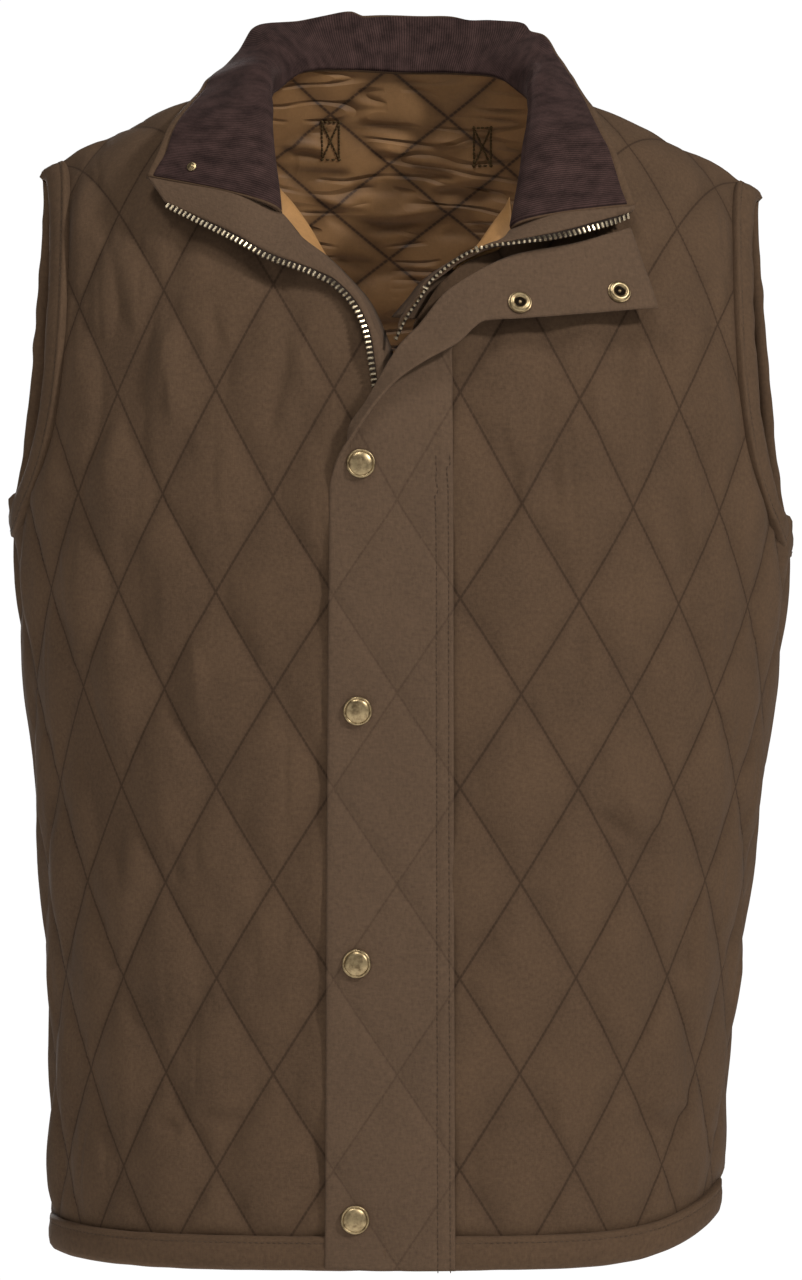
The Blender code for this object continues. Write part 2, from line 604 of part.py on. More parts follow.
def on_grid(grid, columns, x, z):
    """Point and viewer-side normal of a grid of points at x, z, searched between the given columns."""
    first, last = columns
    fine = np.linspace(0, 1, GRID_SEARCH)
    best = None
    for i in range(grid.shape[0] - 1):
        for k in range(first, last):
            a, b, c, d = grid[i, k], grid[i, k + 1], grid[i + 1, k], grid[i + 1, k + 1]
            p, q = np.meshgrid(fine, fine, indexing="ij")
            p, q = p[..., None], q[..., None]
            cell = (a * (1 - q) + b * q) * (1 - p) + (c * (1 - q) + d * q) * p
            miss = np.hypot(cell[..., 0] - x, cell[..., 2] - z)
            spot = np.unravel_index(miss.argmin(), miss.shape)
            if best is None or miss[spot] < best[0]:
                normal = np.cross(b - a + d - c, c - a + d - b)
                normal = normal / np.linalg.norm(normal)
                best = (miss[spot], cell[spot], normal * -np.sign(normal[1]))
    return best[1], best[2]


def sized(profile, radius, height):
    return [(radius * across, height * up) for across, up in profile]


def make_snaps(flap, collar, collar_normal):
    seat = FLAP_WALL / 2 + SNAP_SEAT
    dome = sized(CAP_PROFILE, SNAP_CAP["radius"], SNAP_CAP["height"])
    for number, (x, z) in enumerate(SNAP_CAPS, start=1):
        point, normal = on_grid(flap, (0, 2 * FLAP_ACROSS if number > 1 else FLAP_ACROSS), x, z)
        turned("snap_cap_%d" % number, point + normal * seat, normal, dome, "brass")
    rim = sized(SOCKET_PROFILE, SNAP_SOCKET["radius"], SNAP_SOCKET["height"])
    rim += sized(SOCKET_HOLE_PROFILE, SNAP_SOCKET["hole"], SNAP_SOCKET["height"])
    for number, (x, z) in enumerate(SNAP_SOCKETS, start=1):
        point, normal = on_grid(flap, (FLAP_ACROSS, 2 * FLAP_ACROSS), x, z)
        turned("snap_socket_%d" % number, point + normal * seat, normal, rim, "brass", ring=True)
    low = STUD_WIDTH_SHARE * COLLAR_ROWS
    k, part = int(low), low - int(low)
    first = collar[0] * (1 - STUD_STATION) + collar[1] * STUD_STATION
    point = first[k] * (1 - part) + first[k + 1] * part
    lift = GAP / 2 + COLLAR_WALL + SNAP_SEAT
    knob = sized(STUD_PROFILE, SNAP_STUD["radius"], SNAP_STUD["height"])
    normal = collar_normal[0, k]
    turned("snap_stud", point + normal * lift, normal, knob, "brass")


clear_scene()
make_panels()
make_bands()
collar_points, collar_normals = make_collar()
make_facings(collar_points)
flap_points = make_flap()
make_zip()
make_snaps(flap_points, collar_points, collar_normals)
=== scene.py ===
import json
import math

import bmesh
import bpy
import mathutils
import mathutils.bvhtree
import mathutils.kdtree
import numpy as np
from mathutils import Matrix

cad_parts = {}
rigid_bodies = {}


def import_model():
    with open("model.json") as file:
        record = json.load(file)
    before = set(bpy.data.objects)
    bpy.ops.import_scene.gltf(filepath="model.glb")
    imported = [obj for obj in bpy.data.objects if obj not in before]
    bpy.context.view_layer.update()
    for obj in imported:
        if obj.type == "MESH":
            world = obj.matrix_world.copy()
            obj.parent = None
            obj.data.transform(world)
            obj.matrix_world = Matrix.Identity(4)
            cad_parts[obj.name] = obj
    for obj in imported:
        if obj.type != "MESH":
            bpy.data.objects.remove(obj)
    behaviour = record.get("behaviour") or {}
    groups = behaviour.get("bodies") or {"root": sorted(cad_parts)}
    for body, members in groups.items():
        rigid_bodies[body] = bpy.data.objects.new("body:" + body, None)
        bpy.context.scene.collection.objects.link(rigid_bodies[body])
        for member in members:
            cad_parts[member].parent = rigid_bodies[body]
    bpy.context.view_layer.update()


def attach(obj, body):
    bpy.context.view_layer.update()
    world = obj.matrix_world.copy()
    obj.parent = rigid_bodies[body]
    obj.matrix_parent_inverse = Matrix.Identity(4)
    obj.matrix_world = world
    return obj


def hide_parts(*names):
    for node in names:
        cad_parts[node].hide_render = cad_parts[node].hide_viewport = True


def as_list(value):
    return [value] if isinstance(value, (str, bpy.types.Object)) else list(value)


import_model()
bpy.ops.object.select_all(action="DESELECT")
print("frame loaded")

# torso surface, with the sizes of the solids
body = {"chestZ": -0.242, "hemZ": -0.686, "hemRise": {-1: 0.006, 1: 0.028}, "hemPower": 6,
        "backHemLift": 0.004, "ringPower": 2.0 / 2.3, "neckHalf": 0.078, "neckTopZ": 0.020,
        "shoulderHalf": 0.2255, "shoulderDrop": 0.0655, "shoulderBow": 1.15, "ridgeY": 0.015,
        "ridgeRise": {"front": 0.010, "back": 0.050}, "archPower": 1.45, "backNeck": 0.685,
        "backNeckPower": 2.0, "lean": 0.0065, "leanFrom": -0.45, "leanOver": 0.20, "zipX": -0.0024,
        "zipHalf": 0.0068, "tipShort": 0.03, "tipLean": 0.45}
skirt = body["chestZ"] - body["hemZ"]  # chest line to hem
neckU = body["neckHalf"] / body["shoulderHalf"]
# height, half width, front depth, back depth, swing
rings = np.array([(-0.700, 0.2008, 0.127, 0.127, -0.0105), (-0.580, 0.2034, 0.129, 0.124, -0.0070),
                  (-0.500, 0.2091, 0.132, 0.123, -0.0045), (-0.420, 0.2169, 0.135, 0.125, -0.0020),
                  (-0.360, 0.2238, 0.138, 0.128, -0.0005), (-0.300, 0.2297, 0.140, 0.131, 0.0),
                  (-0.242, 0.2340, 0.141, 0.133, 0.0)])
ringFit = [np.polyfit(rings[:, 0], rings[:, column], 4) for column in range(1, 5)]
armholes = {"front": {"depth": 0.72, "rise": 0.42, "fall": 1.5},
            "back": {"depth": 0.42, "rise": 0.42, "fall": 1.3}}
rollLines = {-1: [(-0.0095, -0.163), (-0.0105, -0.150), (-0.0152, -0.135), (-0.0228, -0.118),
                  (-0.0340, -0.104), (-0.0468, -0.091), (-0.0620, -0.079), (-0.0735, -0.068)],
             1: [(0.0045, -0.163), (0.0055, -0.145), (0.0075, -0.130), (0.0220, -0.109),
                 (0.0370, -0.096), (0.0560, -0.088), (0.0680, -0.078)]}


def signedPower(value, power):
    return np.sign(value) * np.abs(value) ** power


def smoothStep(value):
    value = np.clip(value, 0, 1)
    return value * value * (3 - 2 * value)


def ringPoint(z, u, face):
    half, front, back, swing = [np.polyval(fit, z) for fit in ringFit]
    angle = u * math.pi / 2
    depth = back if face == "back" else -front
    return np.stack([swing + half * signedPower(np.sin(angle), body["ringPower"]),
                     depth * signedPower(np.cos(angle), body["ringPower"]), z], axis=-1)


def ridgePoint(u, face):
    x = body["shoulderHalf"] * u
    run = np.clip((np.abs(x) - body["neckHalf"]) / (body["shoulderHalf"] - body["neckHalf"]), 0, None)
    arch = np.clip(1 - (x / body["neckHalf"]) ** 2, 0, None) ** body["archPower"]
    z = body["neckTopZ"] - body["shoulderDrop"] * run ** body["shoulderBow"] + body["ridgeRise"][face] * arch
    return np.stack([x, np.full_like(x, body["ridgeY"]), z], axis=-1)


def hemHeight(u, face):
    rise = np.where(u < 0, body["hemRise"][-1], body["hemRise"][1])
    lift = body["backHemLift"] * (1 - u ** 2) if face == "back" else 0.0
    return body["hemZ"] + rise * np.sin(u * math.pi / 2) ** body["hemPower"] + lift


# place on the torso: u runs from the centre (0) to the sides (-1, 1),
# s from the hem (-1) over the chest (0) to the shoulder (1)
def torso(u, s, face):
    u, s = np.broadcast_arrays(np.asarray(u, float), np.asarray(s, float))
    low = ringPoint(body["chestZ"] + (body["chestZ"] - hemHeight(u, face)) * np.minimum(s, 0), u, face)
    chest = ringPoint(np.full_like(u, body["chestZ"]), u, face)
    turn = (np.clip(s, 0, None) * math.pi / 2)[..., None]
    part = np.where(np.arange(3) == 2, np.sin(turn), 1 - np.cos(turn))
    point = np.where(s[..., None] > 0, chest + (ridgePoint(u, face) - chest) * part, low)
    share = smoothStep((point[..., 2] - body["leanFrom"]) / body["leanOver"])
    point[..., 2] -= body["lean"] * share * point[..., 0] / body["shoulderHalf"]
    return point


def slopes(u, s, face, step=0.002):
    across = (torso(u + step, s, face) - torso(u - step, s, face)) / (2 * step)
    upward = (torso(u, s + step, face) - torso(u, s - step, face)) / (2 * step)
    return across, upward


# at the shoulder tips front and back close up, so both ease to one direction there
def outward(u, s, face):
    u, s = np.broadcast_arrays(np.asarray(u, float), np.asarray(s, float))
    normal = unit(np.cross(*slopes(u, s, face, 0.012)))
    if face == "back":
        normal = -normal
    share = (smoothStep((np.abs(u) - 0.80) / 0.12) * smoothStep((s - 0.70) / 0.25))[..., None]
    tip = np.stack([np.sign(u) * body["tipLean"], u * 0, u * 0 + 1], axis=-1)
    return unit(normal * (1 - share) + unit(tip) * share)


def cloth(u, s, face, lift):
    u, s = np.broadcast_arrays(np.asarray(u, float), np.asarray(s, float))
    return torso(u, s, face) + outward(u, s, face) * np.broadcast_to(lift, u.shape)[..., None]


def findPlace(x, z, face="front"):
    x, z = np.broadcast_arrays(np.asarray(x, float), np.asarray(z, float))
    chest = body["chestZ"]
    u = x / body["shoulderHalf"]
    s = np.where(z < chest, (z - chest) / skirt, (z - chest) / -chest * 0.8)
    for _ in range(14):
        across, upward = slopes(u, s, face)
        miss = torso(u, s, face) - np.stack([x, x * 0, z], axis=-1)
        det = across[..., 0] * upward[..., 2] - upward[..., 0] * across[..., 2]
        u = u - (miss[..., 0] * upward[..., 2] - upward[..., 0] * miss[..., 2]) / det
        s = np.clip(s - (across[..., 0] * miss[..., 2] - miss[..., 0] * across[..., 2]) / det, -1.1, 0.99)
    return u, s


def onFront(x, z, lift):
    u, s = findPlace(x, z)
    return cloth(u, s, "front", lift)


def scoop(tau, face):
    shape = armholes[face]
    return shape["depth"] * tau ** shape["rise"] * (1 - tau) ** shape["fall"] + body["tipShort"] * tau


# distance of points to the nearest armhole edge
def armholeGap(points, face):
    tau = np.linspace(0, 1, 200)
    reach = 1 - scoop(tau, face)
    edge = np.concatenate([torso(side * reach, tau, face) for side in (-1, 1)])
    tree = mathutils.kdtree.KDTree(len(edge))
    for number, spot in enumerate(edge):
        tree.insert(spot, number)
    tree.balance()
    return np.array([tree.find(point)[2] for point in points])


def frontEdge(side):
    roll = rollLines[side]
    lowZ = np.linspace(body["hemZ"] - 0.004, -0.20, 8)
    x = np.concatenate([np.full_like(lowZ, body["zipX"] + side * body["zipHalf"]), [row[0] for row in roll]])
    z = np.concatenate([lowZ, [row[1] for row in roll]])
    u, s = findPlace(x, z)
    return np.append(u, side * neckU), np.append(s, 1.0)


def neckLimit(u):
    inside = np.clip(np.abs(u) / neckU, 0, 1) ** body["backNeckPower"]
    return body["backNeck"] + (1 - body["backNeck"]) * inside


# height of the neck and shoulder line over the chest, held level from the neck outwards
def ridgeHeight(u, face):
    return ridgePoint(np.clip(u, -neckU, neckU), face)[..., 2] - body["chestZ"]


frontEdges = {side: frontEdge(side) for side in (-1, 1)}
noiseTable = np.random.default_rng(11).uniform(-1, 1, (64, 64))


# smooth value noise, -1 to 1
def noise(x, y, seed=0):
    x, y = np.asarray(x) + seed * 7.31, np.asarray(y) + seed * 3.77
    i, j = np.floor(x).astype(int), np.floor(y).astype(int)
    p, q = smoothStep(x - i), smoothStep(y - j)
    a, b = noiseTable[i % 64, j % 64], noiseTable[(i + 1) % 64, j % 64]
    c, d = noiseTable[i % 64, (j + 1) % 64], noiseTable[(i + 1) % 64, (j + 1) % 64]
    return (a * (1 - p) + b * p) * (1 - q) + (c * (1 - p) + d * p) * q


# curve through rows at uneven knots that never overshoots
def steadyCurve(knots, rows, at):
    gap = np.diff(knots)[:, None]
    slope = np.diff(rows, axis=0) / gap
    tangent = np.empty_like(rows)
    tangent[0], tangent[-1] = slope[0], slope[-1]
    first, second = 2 * gap[1:] + gap[:-1], gap[1:] + 2 * gap[:-1]
    steady = slope[:-1] * slope[1:] > 0
    safeA, safeB = np.where(steady, slope[:-1], 1), np.where(steady, slope[1:], 1)
    tangent[1:-1] = np.where(steady, (first + second) / (first / safeA + second / safeB), 0)
    k = np.clip(np.searchsorted(knots, at, "right") - 1, 0, len(gap) - 1)
    width = gap[k]
    t = ((at - knots[k]) / width[:, 0])[:, None]
    return (rows[k] * (1 + 2 * t) * (1 - t) ** 2 + tangent[k] * width * t * (1 - t) ** 2
            + rows[k + 1] * t ** 2 * (3 - 2 * t) - tangent[k + 1] * width * t ** 2 * (1 - t))


# looser curve for points in space
def freeSpline(rows, places):
    rows = np.asarray(rows, float)
    count = len(rows) - 1
    tangent = np.gradient(rows, axis=0)
    at = np.clip(np.asarray(places, float) * count, 0, count - 1e-9)
    k = at.astype(int)
    t = (at - k).reshape((-1,) + (1,) * (rows.ndim - 1))
    return (rows[k] * (1 + 2 * t) * (1 - t) ** 2 + tangent[k] * t * (1 - t) ** 2
            + rows[k + 1] * t ** 2 * (3 - 2 * t) - tangent[k + 1] * t ** 2 * (1 - t))


def unit(rows):
    return rows / np.linalg.norm(rows, axis=-1, keepdims=True)


def runAlong(points):
    return np.concatenate([[0], np.cumsum(np.linalg.norm(np.diff(points, axis=0), axis=1))])


# places 0 to 1 along a line of points, evenly spaced at about the pitch
def evenPlaces(points, pitch, fewest=2):
    run = runAlong(points)
    count = max(fewest, int(run[-1] / pitch))
    return np.interp(np.linspace(0, run[-1], count), run, np.linspace(0, 1, len(points)))


def addPiece(name, points, faces, material, flat=None, values=None, smooth=True):
    mesh = bpy.data.meshes.new(name)
    mesh.from_pydata(points.tolist(), [], faces)
    if flat is not None:
        layer = mesh.uv_layers.new(name="flat")
        corners = np.empty(len(mesh.loops), dtype=np.int32)
        mesh.loops.foreach_get("vertex_index", corners)
        layer.data.foreach_set("uv", np.ascontiguousarray(flat[corners], dtype=np.float32).ravel())
    for key, value in (values or {}).items():
        field = mesh.attributes.new(key, "FLOAT", "POINT")
        field.data.foreach_set("value", np.ascontiguousarray(value, dtype=np.float32))
    mesh.materials.append(material)
    if smooth:
        mesh.shade_smooth()
    mesh.update()
    item = bpy.data.objects.new(name, mesh)
    bpy.context.scene.collection.objects.link(item)
    return item


# closed wall between two grids of points, rows by columns
def wallFaces(rows, columns):
    under, last, top = rows * columns, columns - 1, (rows - 1) * columns
    faces = []
    for here in range(0, top, columns):
        there = here + columns
        for k in range(last):
            faces.append((here + k, here + k + 1, there + k + 1, there + k))
            faces.append((under + here + k, under + there + k, under + there + k + 1, under + here + k + 1))
        faces.append((here, there, under + there, under + here))
        faces.append((here + last, under + here + last, under + there + last, there + last))
    for k in range(last):
        faces.append((k, under + k, under + k + 1, k + 1))
        faces.append((top + k, top + k + 1, under + top + k + 1, under + top + k))
    return faces


def faceOut(item):
    shape = bmesh.new()
    shape.from_mesh(item.data)
    bmesh.ops.remove_doubles(shape, verts=shape.verts, dist=1e-6)
    bmesh.ops.dissolve_degenerate(shape, dist=1e-7, edges=shape.edges)
    if shape.calc_volume(signed=True) < 0:
        bmesh.ops.reverse_faces(shape, faces=shape.faces)
    shape.to_mesh(item.data)
    shape.free()
    return item


def settle(item, slotName, *nodes):
    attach(item, "root")
    if nodes:
        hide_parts(*nodes)
    return item


print("surface ready")


# materials are built from small node chains on each cloth's own flat coordinates, in metres
class Chain:
    def __init__(self, name):
        self.material = bpy.data.materials.new(name)
        self.material.use_nodes = True
        self.tree = self.material.node_tree
        self.shader = self.tree.nodes["Principled BSDF"]

    def add(self, kind, inputs=(), **settings):
        item = self.tree.nodes.new(kind)
        for key, value in settings.items():
            setattr(item, key, value)
        for key, value in dict(inputs).items():
            self.put(item.inputs[key], value)
        return item

    def put(self, socket, value):
        if isinstance(value, bpy.types.NodeSocket):
            self.tree.links.new(value, socket)
        else:
            socket.default_value = value

    def math(self, operation, a, b=0.0, c=0.0):
        return self.add("ShaderNodeMath", {0: a, 1: b, 2: c}, operation=operation).outputs[0]

    def flat(self):
        return self.add("ShaderNodeUVMap", uv_map="flat").outputs[0]

    def noise(self, vector, scale, stretch=(1, 1, 1), detail=3.0, rough=0.6):
        moved = self.add("ShaderNodeMapping", {"Vector": vector, "Scale": stretch}).outputs[0]
        return self.add("ShaderNodeTexNoise", {"Vector": moved, "Scale": scale, "Detail": detail,
                                               "Roughness": rough}).outputs[0]

    def remap(self, value, low, high, toLow, toHigh):
        return self.add("ShaderNodeMapRange", {0: value, 1: low, 2: high, 3: toLow, 4: toHigh}).outputs[0]

    def mix(self, factor, a, b, blend="MIX"):
        item = self.add("ShaderNodeMix", data_type="RGBA", blend_type=blend)
        self.put(item.inputs[0], factor)
        self.put(item.inputs[6], a)
        self.put(item.inputs[7], b)
        return item.outputs[2]

    # a colour times a grey level
    def shaded(self, tone, level):
        grey = self.add("ShaderNodeCombineColor", {0: level, 1: level, 2: level}).outputs[0]
        return self.mix(1.0, tone, grey, "MULTIPLY")

    def finish(self, inputs):
        for key, value in inputs.items():
            self.put(self.shader.inputs[key], value)
        return self.material

    # 1 on the sewn lines of a diamond lattice, broken into stitches; the colour darkens along it, partly for
    # the stitch thread and partly as painted shade in the sewn grooves
    def lattice(self, vector, quilt):
        parts = self.add("ShaderNodeSeparateXYZ", {0: vector})
        across = self.math("DIVIDE", self.math("SUBTRACT", parts.outputs[0], quilt["x"]), quilt["wide"])
        upward = self.math("DIVIDE", self.math("SUBTRACT", parts.outputs[1], quilt["z"]), quilt["tall"])
        families = [self.math("ADD", across, upward), self.math("SUBTRACT", across, upward)]
        spacing = 1 / math.hypot(1 / quilt["wide"], 1 / quilt["tall"])
        length = math.hypot(quilt["wide"], quilt["tall"]) / 2
        masks = []
        for here, other in (families, families[::-1]):
            off = self.math("MULTIPLY", self.math("PINGPONG", here, 0.5), spacing)
            line = self.remap(off, quilt["line"] * 0.5, quilt["line"] * 1.5, 1.0, 0.0)
            run = self.math("PINGPONG", self.math("MULTIPLY", other, length / quilt["stitch"]), 0.5)
            masks.append(self.math("MULTIPLY", line, self.remap(run, 0.06, 0.14, 0.55, 1.0)))
        return self.math("MAXIMUM", *masks)


# grain sizes the weave and its flecks, quilt darkens the sewn lines (stitch thread and painted shade in their
# grooves), wrinkle adds fine folds with painted shade along them
def cottonMaterial(name, colour, dark, grain, quilt=None, lineThreadAndShade=0.6, rough=0.88, mottle=0.10,
                   wrinkle=None):
    chain = Chain(name)
    flat = chain.flat()
    warp = chain.noise(flat, 1.0, (grain["fine"], grain["long"], 1))
    weft = chain.noise(flat, 1.0, (grain["long"], grain["fine"], 1))
    weave = chain.math("MULTIPLY", chain.math("ADD", warp, weft), 0.5)
    patches = chain.noise(flat, 22.0, detail=4.0)
    flecks = chain.noise(flat, 420.0, detail=2.0)
    level = chain.math("ADD", chain.remap(weave, 0.3, 0.7, 1 - grain["tone"], 1 + grain["tone"]),
                       chain.remap(patches, 0.3, 0.7, -mottle, mottle))
    level = chain.math("ADD", level, chain.remap(flecks, 0.3, 0.7, -grain["fleck"], grain["fleck"]))
    tone = chain.shaded((*colour, 1.0), level)
    # painted shade: the sewn lines take the dark colour, partly for the thread and partly for the shade in
    # their grooves
    if quilt:
        tone = chain.mix(chain.math("MULTIPLY", chain.lattice(flat, quilt), lineThreadAndShade), tone, (*dark, 1.0))
    # painted shade: the groove attribute darkens the colour in the sewn grooves, in crease troughs and beside
    # seams and bound edges
    groove = chain.add("ShaderNodeAttribute", attribute_name="groove").outputs["Fac"]
    tone = chain.mix(chain.math("MULTIPLY", groove, grain["crease"]), tone, (*dark, 1.0))
    bump = chain.add("ShaderNodeBump", {"Height": weave, "Strength": grain["bump"], "Distance": 0.0006})
    if wrinkle:
        folds = chain.noise(flat, 1.0, wrinkle["stretch"], detail=0.0)
        near = chain.math("ABSOLUTE", chain.math("SUBTRACT", folds, 0.5))
        breaks = chain.remap(chain.noise(flat, wrinkle["breaks"], detail=1.0), 0.42, 0.60, 0.0, 1.0)
        fold = chain.math("MULTIPLY", chain.remap(near, 0.0, wrinkle["width"], 1.0, 0.0), breaks)
        # painted shade along the lining's wrinkle folds
        tone = chain.mix(chain.math("MULTIPLY", fold, wrinkle["shade"]), tone, (*dark, 1.0))
        crumple = {"Height": fold, "Strength": 1.0, "Distance": wrinkle["depth"]}
        chain.put(bump.inputs["Normal"], chain.add("ShaderNodeBump", crumple, invert=True).outputs[0])
    return chain.finish({"Base Color": tone, "Sheen Weight": 0.02, "Sheen Roughness": 0.45,
                         "Roughness": chain.remap(patches, 0.3, 0.7, rough - 0.05, rough + 0.05),
                         "Specular IOR Level": grain["gloss"], "Normal": bump.outputs[0]})


def corduroyMaterial(name, colour, dark, wale):
    chain = Chain(name)
    flat = chain.flat()
    parts = chain.add("ShaderNodeSeparateXYZ", {0: flat})
    wander = chain.math("MULTIPLY", chain.noise(flat, 60.0, detail=1.0), 0.0012)
    shifted = chain.math("ADD", parts.outputs[0], wander)
    ridge = chain.math("PINGPONG", chain.math("DIVIDE", shifted, wale), 0.5)
    height = chain.remap(ridge, 0.08, 0.36, 0.0, 1.0)
    nap = chain.noise(flat, 110.0, (1.0, 0.6, 1), detail=5.0)
    fuzz = chain.noise(flat, 900.0, detail=2.0)
    level = chain.math("ADD", chain.remap(nap, 0.34, 0.66, 0.60, 1.40),
                       chain.remap(fuzz, 0.3, 0.7, -0.14, 0.14))
    # painted shade: the valleys between the wales take the dark colour, by wale height
    tone = chain.shaded(chain.mix(height, (*dark, 1.0), (*colour, 1.0)), level)
    relief = chain.math("ADD", height, chain.math("MULTIPLY", fuzz, 0.5))
    bump = chain.add("ShaderNodeBump", {"Height": relief, "Strength": 0.35, "Distance": 0.0006})
    return chain.finish({"Base Color": tone, "Roughness": 0.95, "Sheen Weight": 0.08, "Sheen Roughness": 0.35,
                         "Sheen Tint": (0.70, 0.50, 0.46, 1.0), "Specular IOR Level": 0.12,
                         "Normal": bump.outputs[0]})


def brassMaterial(name, colour, dark, rough):
    chain = Chain(name)
    place = chain.add("ShaderNodeTexCoord").outputs["Object"]
    patina = chain.noise(place, 260.0, detail=4.0)
    specks = chain.noise(place, 1400.0, detail=2.0)
    share = chain.remap(patina, 0.42, 0.68, 0.0, 0.75)
    return chain.finish({"Base Color": chain.mix(share, (*colour, 1.0), (*dark, 1.0)), "Metallic": 1.0,
                         "Roughness": chain.remap(specks, 0.3, 0.7, rough - 0.07, rough + 0.10)})


# lattices of sewn diamonds on the shell and the lining: size, place of a crossing, sewn line, stitch
shellQuilt = {"wide": 0.0743, "tall": 0.1117, "x": -0.0766, "z": -0.2358, "line": 0.0007, "stitch": 0.0032}
liningQuilt = {"wide": 0.0737, "tall": 0.0578, "x": -0.0442, "z": 0.0045, "line": 0.0008, "stitch": 0.0032}
backQuilt = dict(shellQuilt, x=0.0)
# "crease" in each grain is how strongly the groove attribute paints shade into the colour
cottonGrain = {"fine": 1300.0, "long": 260.0, "tone": 0.10, "fleck": 0.12, "crease": 0.22, "gloss": 0.12,
               "bump": 0.40}
flapGrain = {"fine": 700.0, "long": 260.0, "tone": 0.18, "fleck": 0.07, "crease": 0.35, "gloss": 0.12,
             "bump": 0.70}
liningGrain = {"fine": 1500.0, "long": 200.0, "tone": 0.05, "fleck": 0.05, "crease": 0.60, "gloss": 0.40,
               "bump": 0.15}
liningWrinkle = {"stretch": (15.0, 95.0, 1.0), "breaks": 24.0, "width": 0.085, "shade": 0.22,
                 "depth": 0.0026}
# the dark colours are painted shade in grooves, creases and folds, and partly the stitch thread on the sewn
# lines
brown, brownDark = (0.0980, 0.0585, 0.0335), (0.026, 0.014, 0.008)
flapBrown = (0.108, 0.067, 0.041)
tan, tanDark = (0.330, 0.172, 0.066), (0.045, 0.019, 0.007)
cotton = cottonMaterial("quilted cotton", brown, brownDark, cottonGrain, shellQuilt)
cottonBack = cottonMaterial("quilted cotton back", brown, brownDark, cottonGrain, backQuilt)
cottonPlain = cottonMaterial("plain cotton", brown, brownDark, cottonGrain)
# painted shade: the flap's faint lattice lines darken along the quilting that shows through it
cottonFlap = cottonMaterial("flap cotton", flapBrown, brownDark, flapGrain, shellQuilt, 0.28, mottle=0.05)
liningCloth = cottonMaterial("tan lining", tan, tanDark, liningGrain, liningQuilt, 0.85, rough=0.62,
                             mottle=0.16, wrinkle=liningWrinkle)
tapeCloth = cottonMaterial("zip tape", (0.030, 0.021, 0.016), (0.01, 0.007, 0.005), flapGrain, mottle=0.05)
threadCloth = cottonMaterial("thread", (0.078, 0.050, 0.032), brownDark, flapGrain)
# the corduroy's dark colour is painted shade in the valleys between its wales
corduroy = corduroyMaterial("corduroy", (0.054, 0.030, 0.026), (0.026, 0.0142, 0.0125), 0.0015)
brass = brassMaterial("antique brass", (0.44, 0.33, 0.18), (0.10, 0.062, 0.03), 0.36)
toothBrass = brassMaterial("zip brass", (0.62, 0.52, 0.36), (0.30, 0.22, 0.13), 0.30)
print("materials ready")


# flat cloth coordinates: round the body from the centre, and up the cloth from the chest
rise = {"front": {"out": 0.125, "up": 0.235}, "back": {"out": 0.110, "up": 0.240},
        "level": {"out": 0.0, "up": 0.325}}


def riseTable(kind):
    turn = np.linspace(0, 1.02, 400) * math.pi / 2
    speed = np.hypot(rise[kind]["out"] * np.sin(turn), rise[kind]["up"] * np.cos(turn))
    run = np.concatenate([[0], np.cumsum((speed[1:] + speed[:-1]) / 2 * np.diff(turn))])
    return turn * 2 / math.pi, run


riseTables = {kind: riseTable(kind) for kind in rise}


def ringWidth(s, u, face):
    z = body["chestZ"] + (body["chestZ"] - hemHeight(u, face)) * np.minimum(s, 0)
    return np.polyval(ringFit[0], z), np.polyval(ringFit[3], z), z


def toFlat(u, s, face, kind):
    half, swing, z = ringWidth(s, u, face)
    x = torso(u, s, face)[..., 0] - swing
    if kind == "level":
        up = ridgeHeight(u, face) * np.sin(np.clip(s, 0, 1) * math.pi / 2)
    else:
        up = np.interp(s, *riseTables[kind])
    flatZ = np.where(s > 0, body["chestZ"] + up, z)
    return np.stack([swing + half * np.arcsin(np.clip(x / half, -1, 1)), flatZ], axis=-1)


# place on the torso of flat coordinates, row by row
def fromFlat(flatX, flatZ, face, kind):
    table = np.linspace(-1, 1, 801)
    ridge = ridgeHeight(table, face)
    u, s = np.empty_like(flatX), np.empty_like(flatX)
    for j in range(flatX.shape[0]):
        z = flatZ[j, 0]
        if z > body["chestZ"] and kind == "level":
            share = (z - body["chestZ"]) / ridge
            row = np.where(share < 1, np.arcsin(np.clip(share, 0, 1)) * 2 / math.pi, 1.02)
        elif z > body["chestZ"]:
            row = np.full_like(table, np.interp(z - body["chestZ"], *riseTables[kind][::-1]))
        else:
            row = (z - body["chestZ"]) / (body["chestZ"] - hemHeight(table, face))
        half, swing, _ = ringWidth(row, table, face)
        swing, half = swing[0], half[0]
        turn = np.clip((flatX[j] - swing) / half, -math.pi / 2, math.pi / 2)
        x = swing + half * np.sin(turn)
        u[j] = np.interp(x, torso(table, row, face)[:, 0], table)
        s[j] = np.interp(u[j], table, row)
    return u, s


# distance to the two families of sewn lines, and the run along them
def sewnLines(flat, quilt):
    across = (flat[..., 0] - quilt["x"]) / quilt["wide"]
    upward = (flat[..., 1] - quilt["z"]) / quilt["tall"]
    spacing = 1 / math.hypot(1 / quilt["wide"], 1 / quilt["tall"])
    length = math.hypot(quilt["wide"], quilt["tall"]) / 2
    first, second = across + upward, across - upward
    off = [np.abs(value - np.round(value)) * spacing for value in (first, second)]
    return off, [second * length, first * length], [np.round(first), np.round(second)]


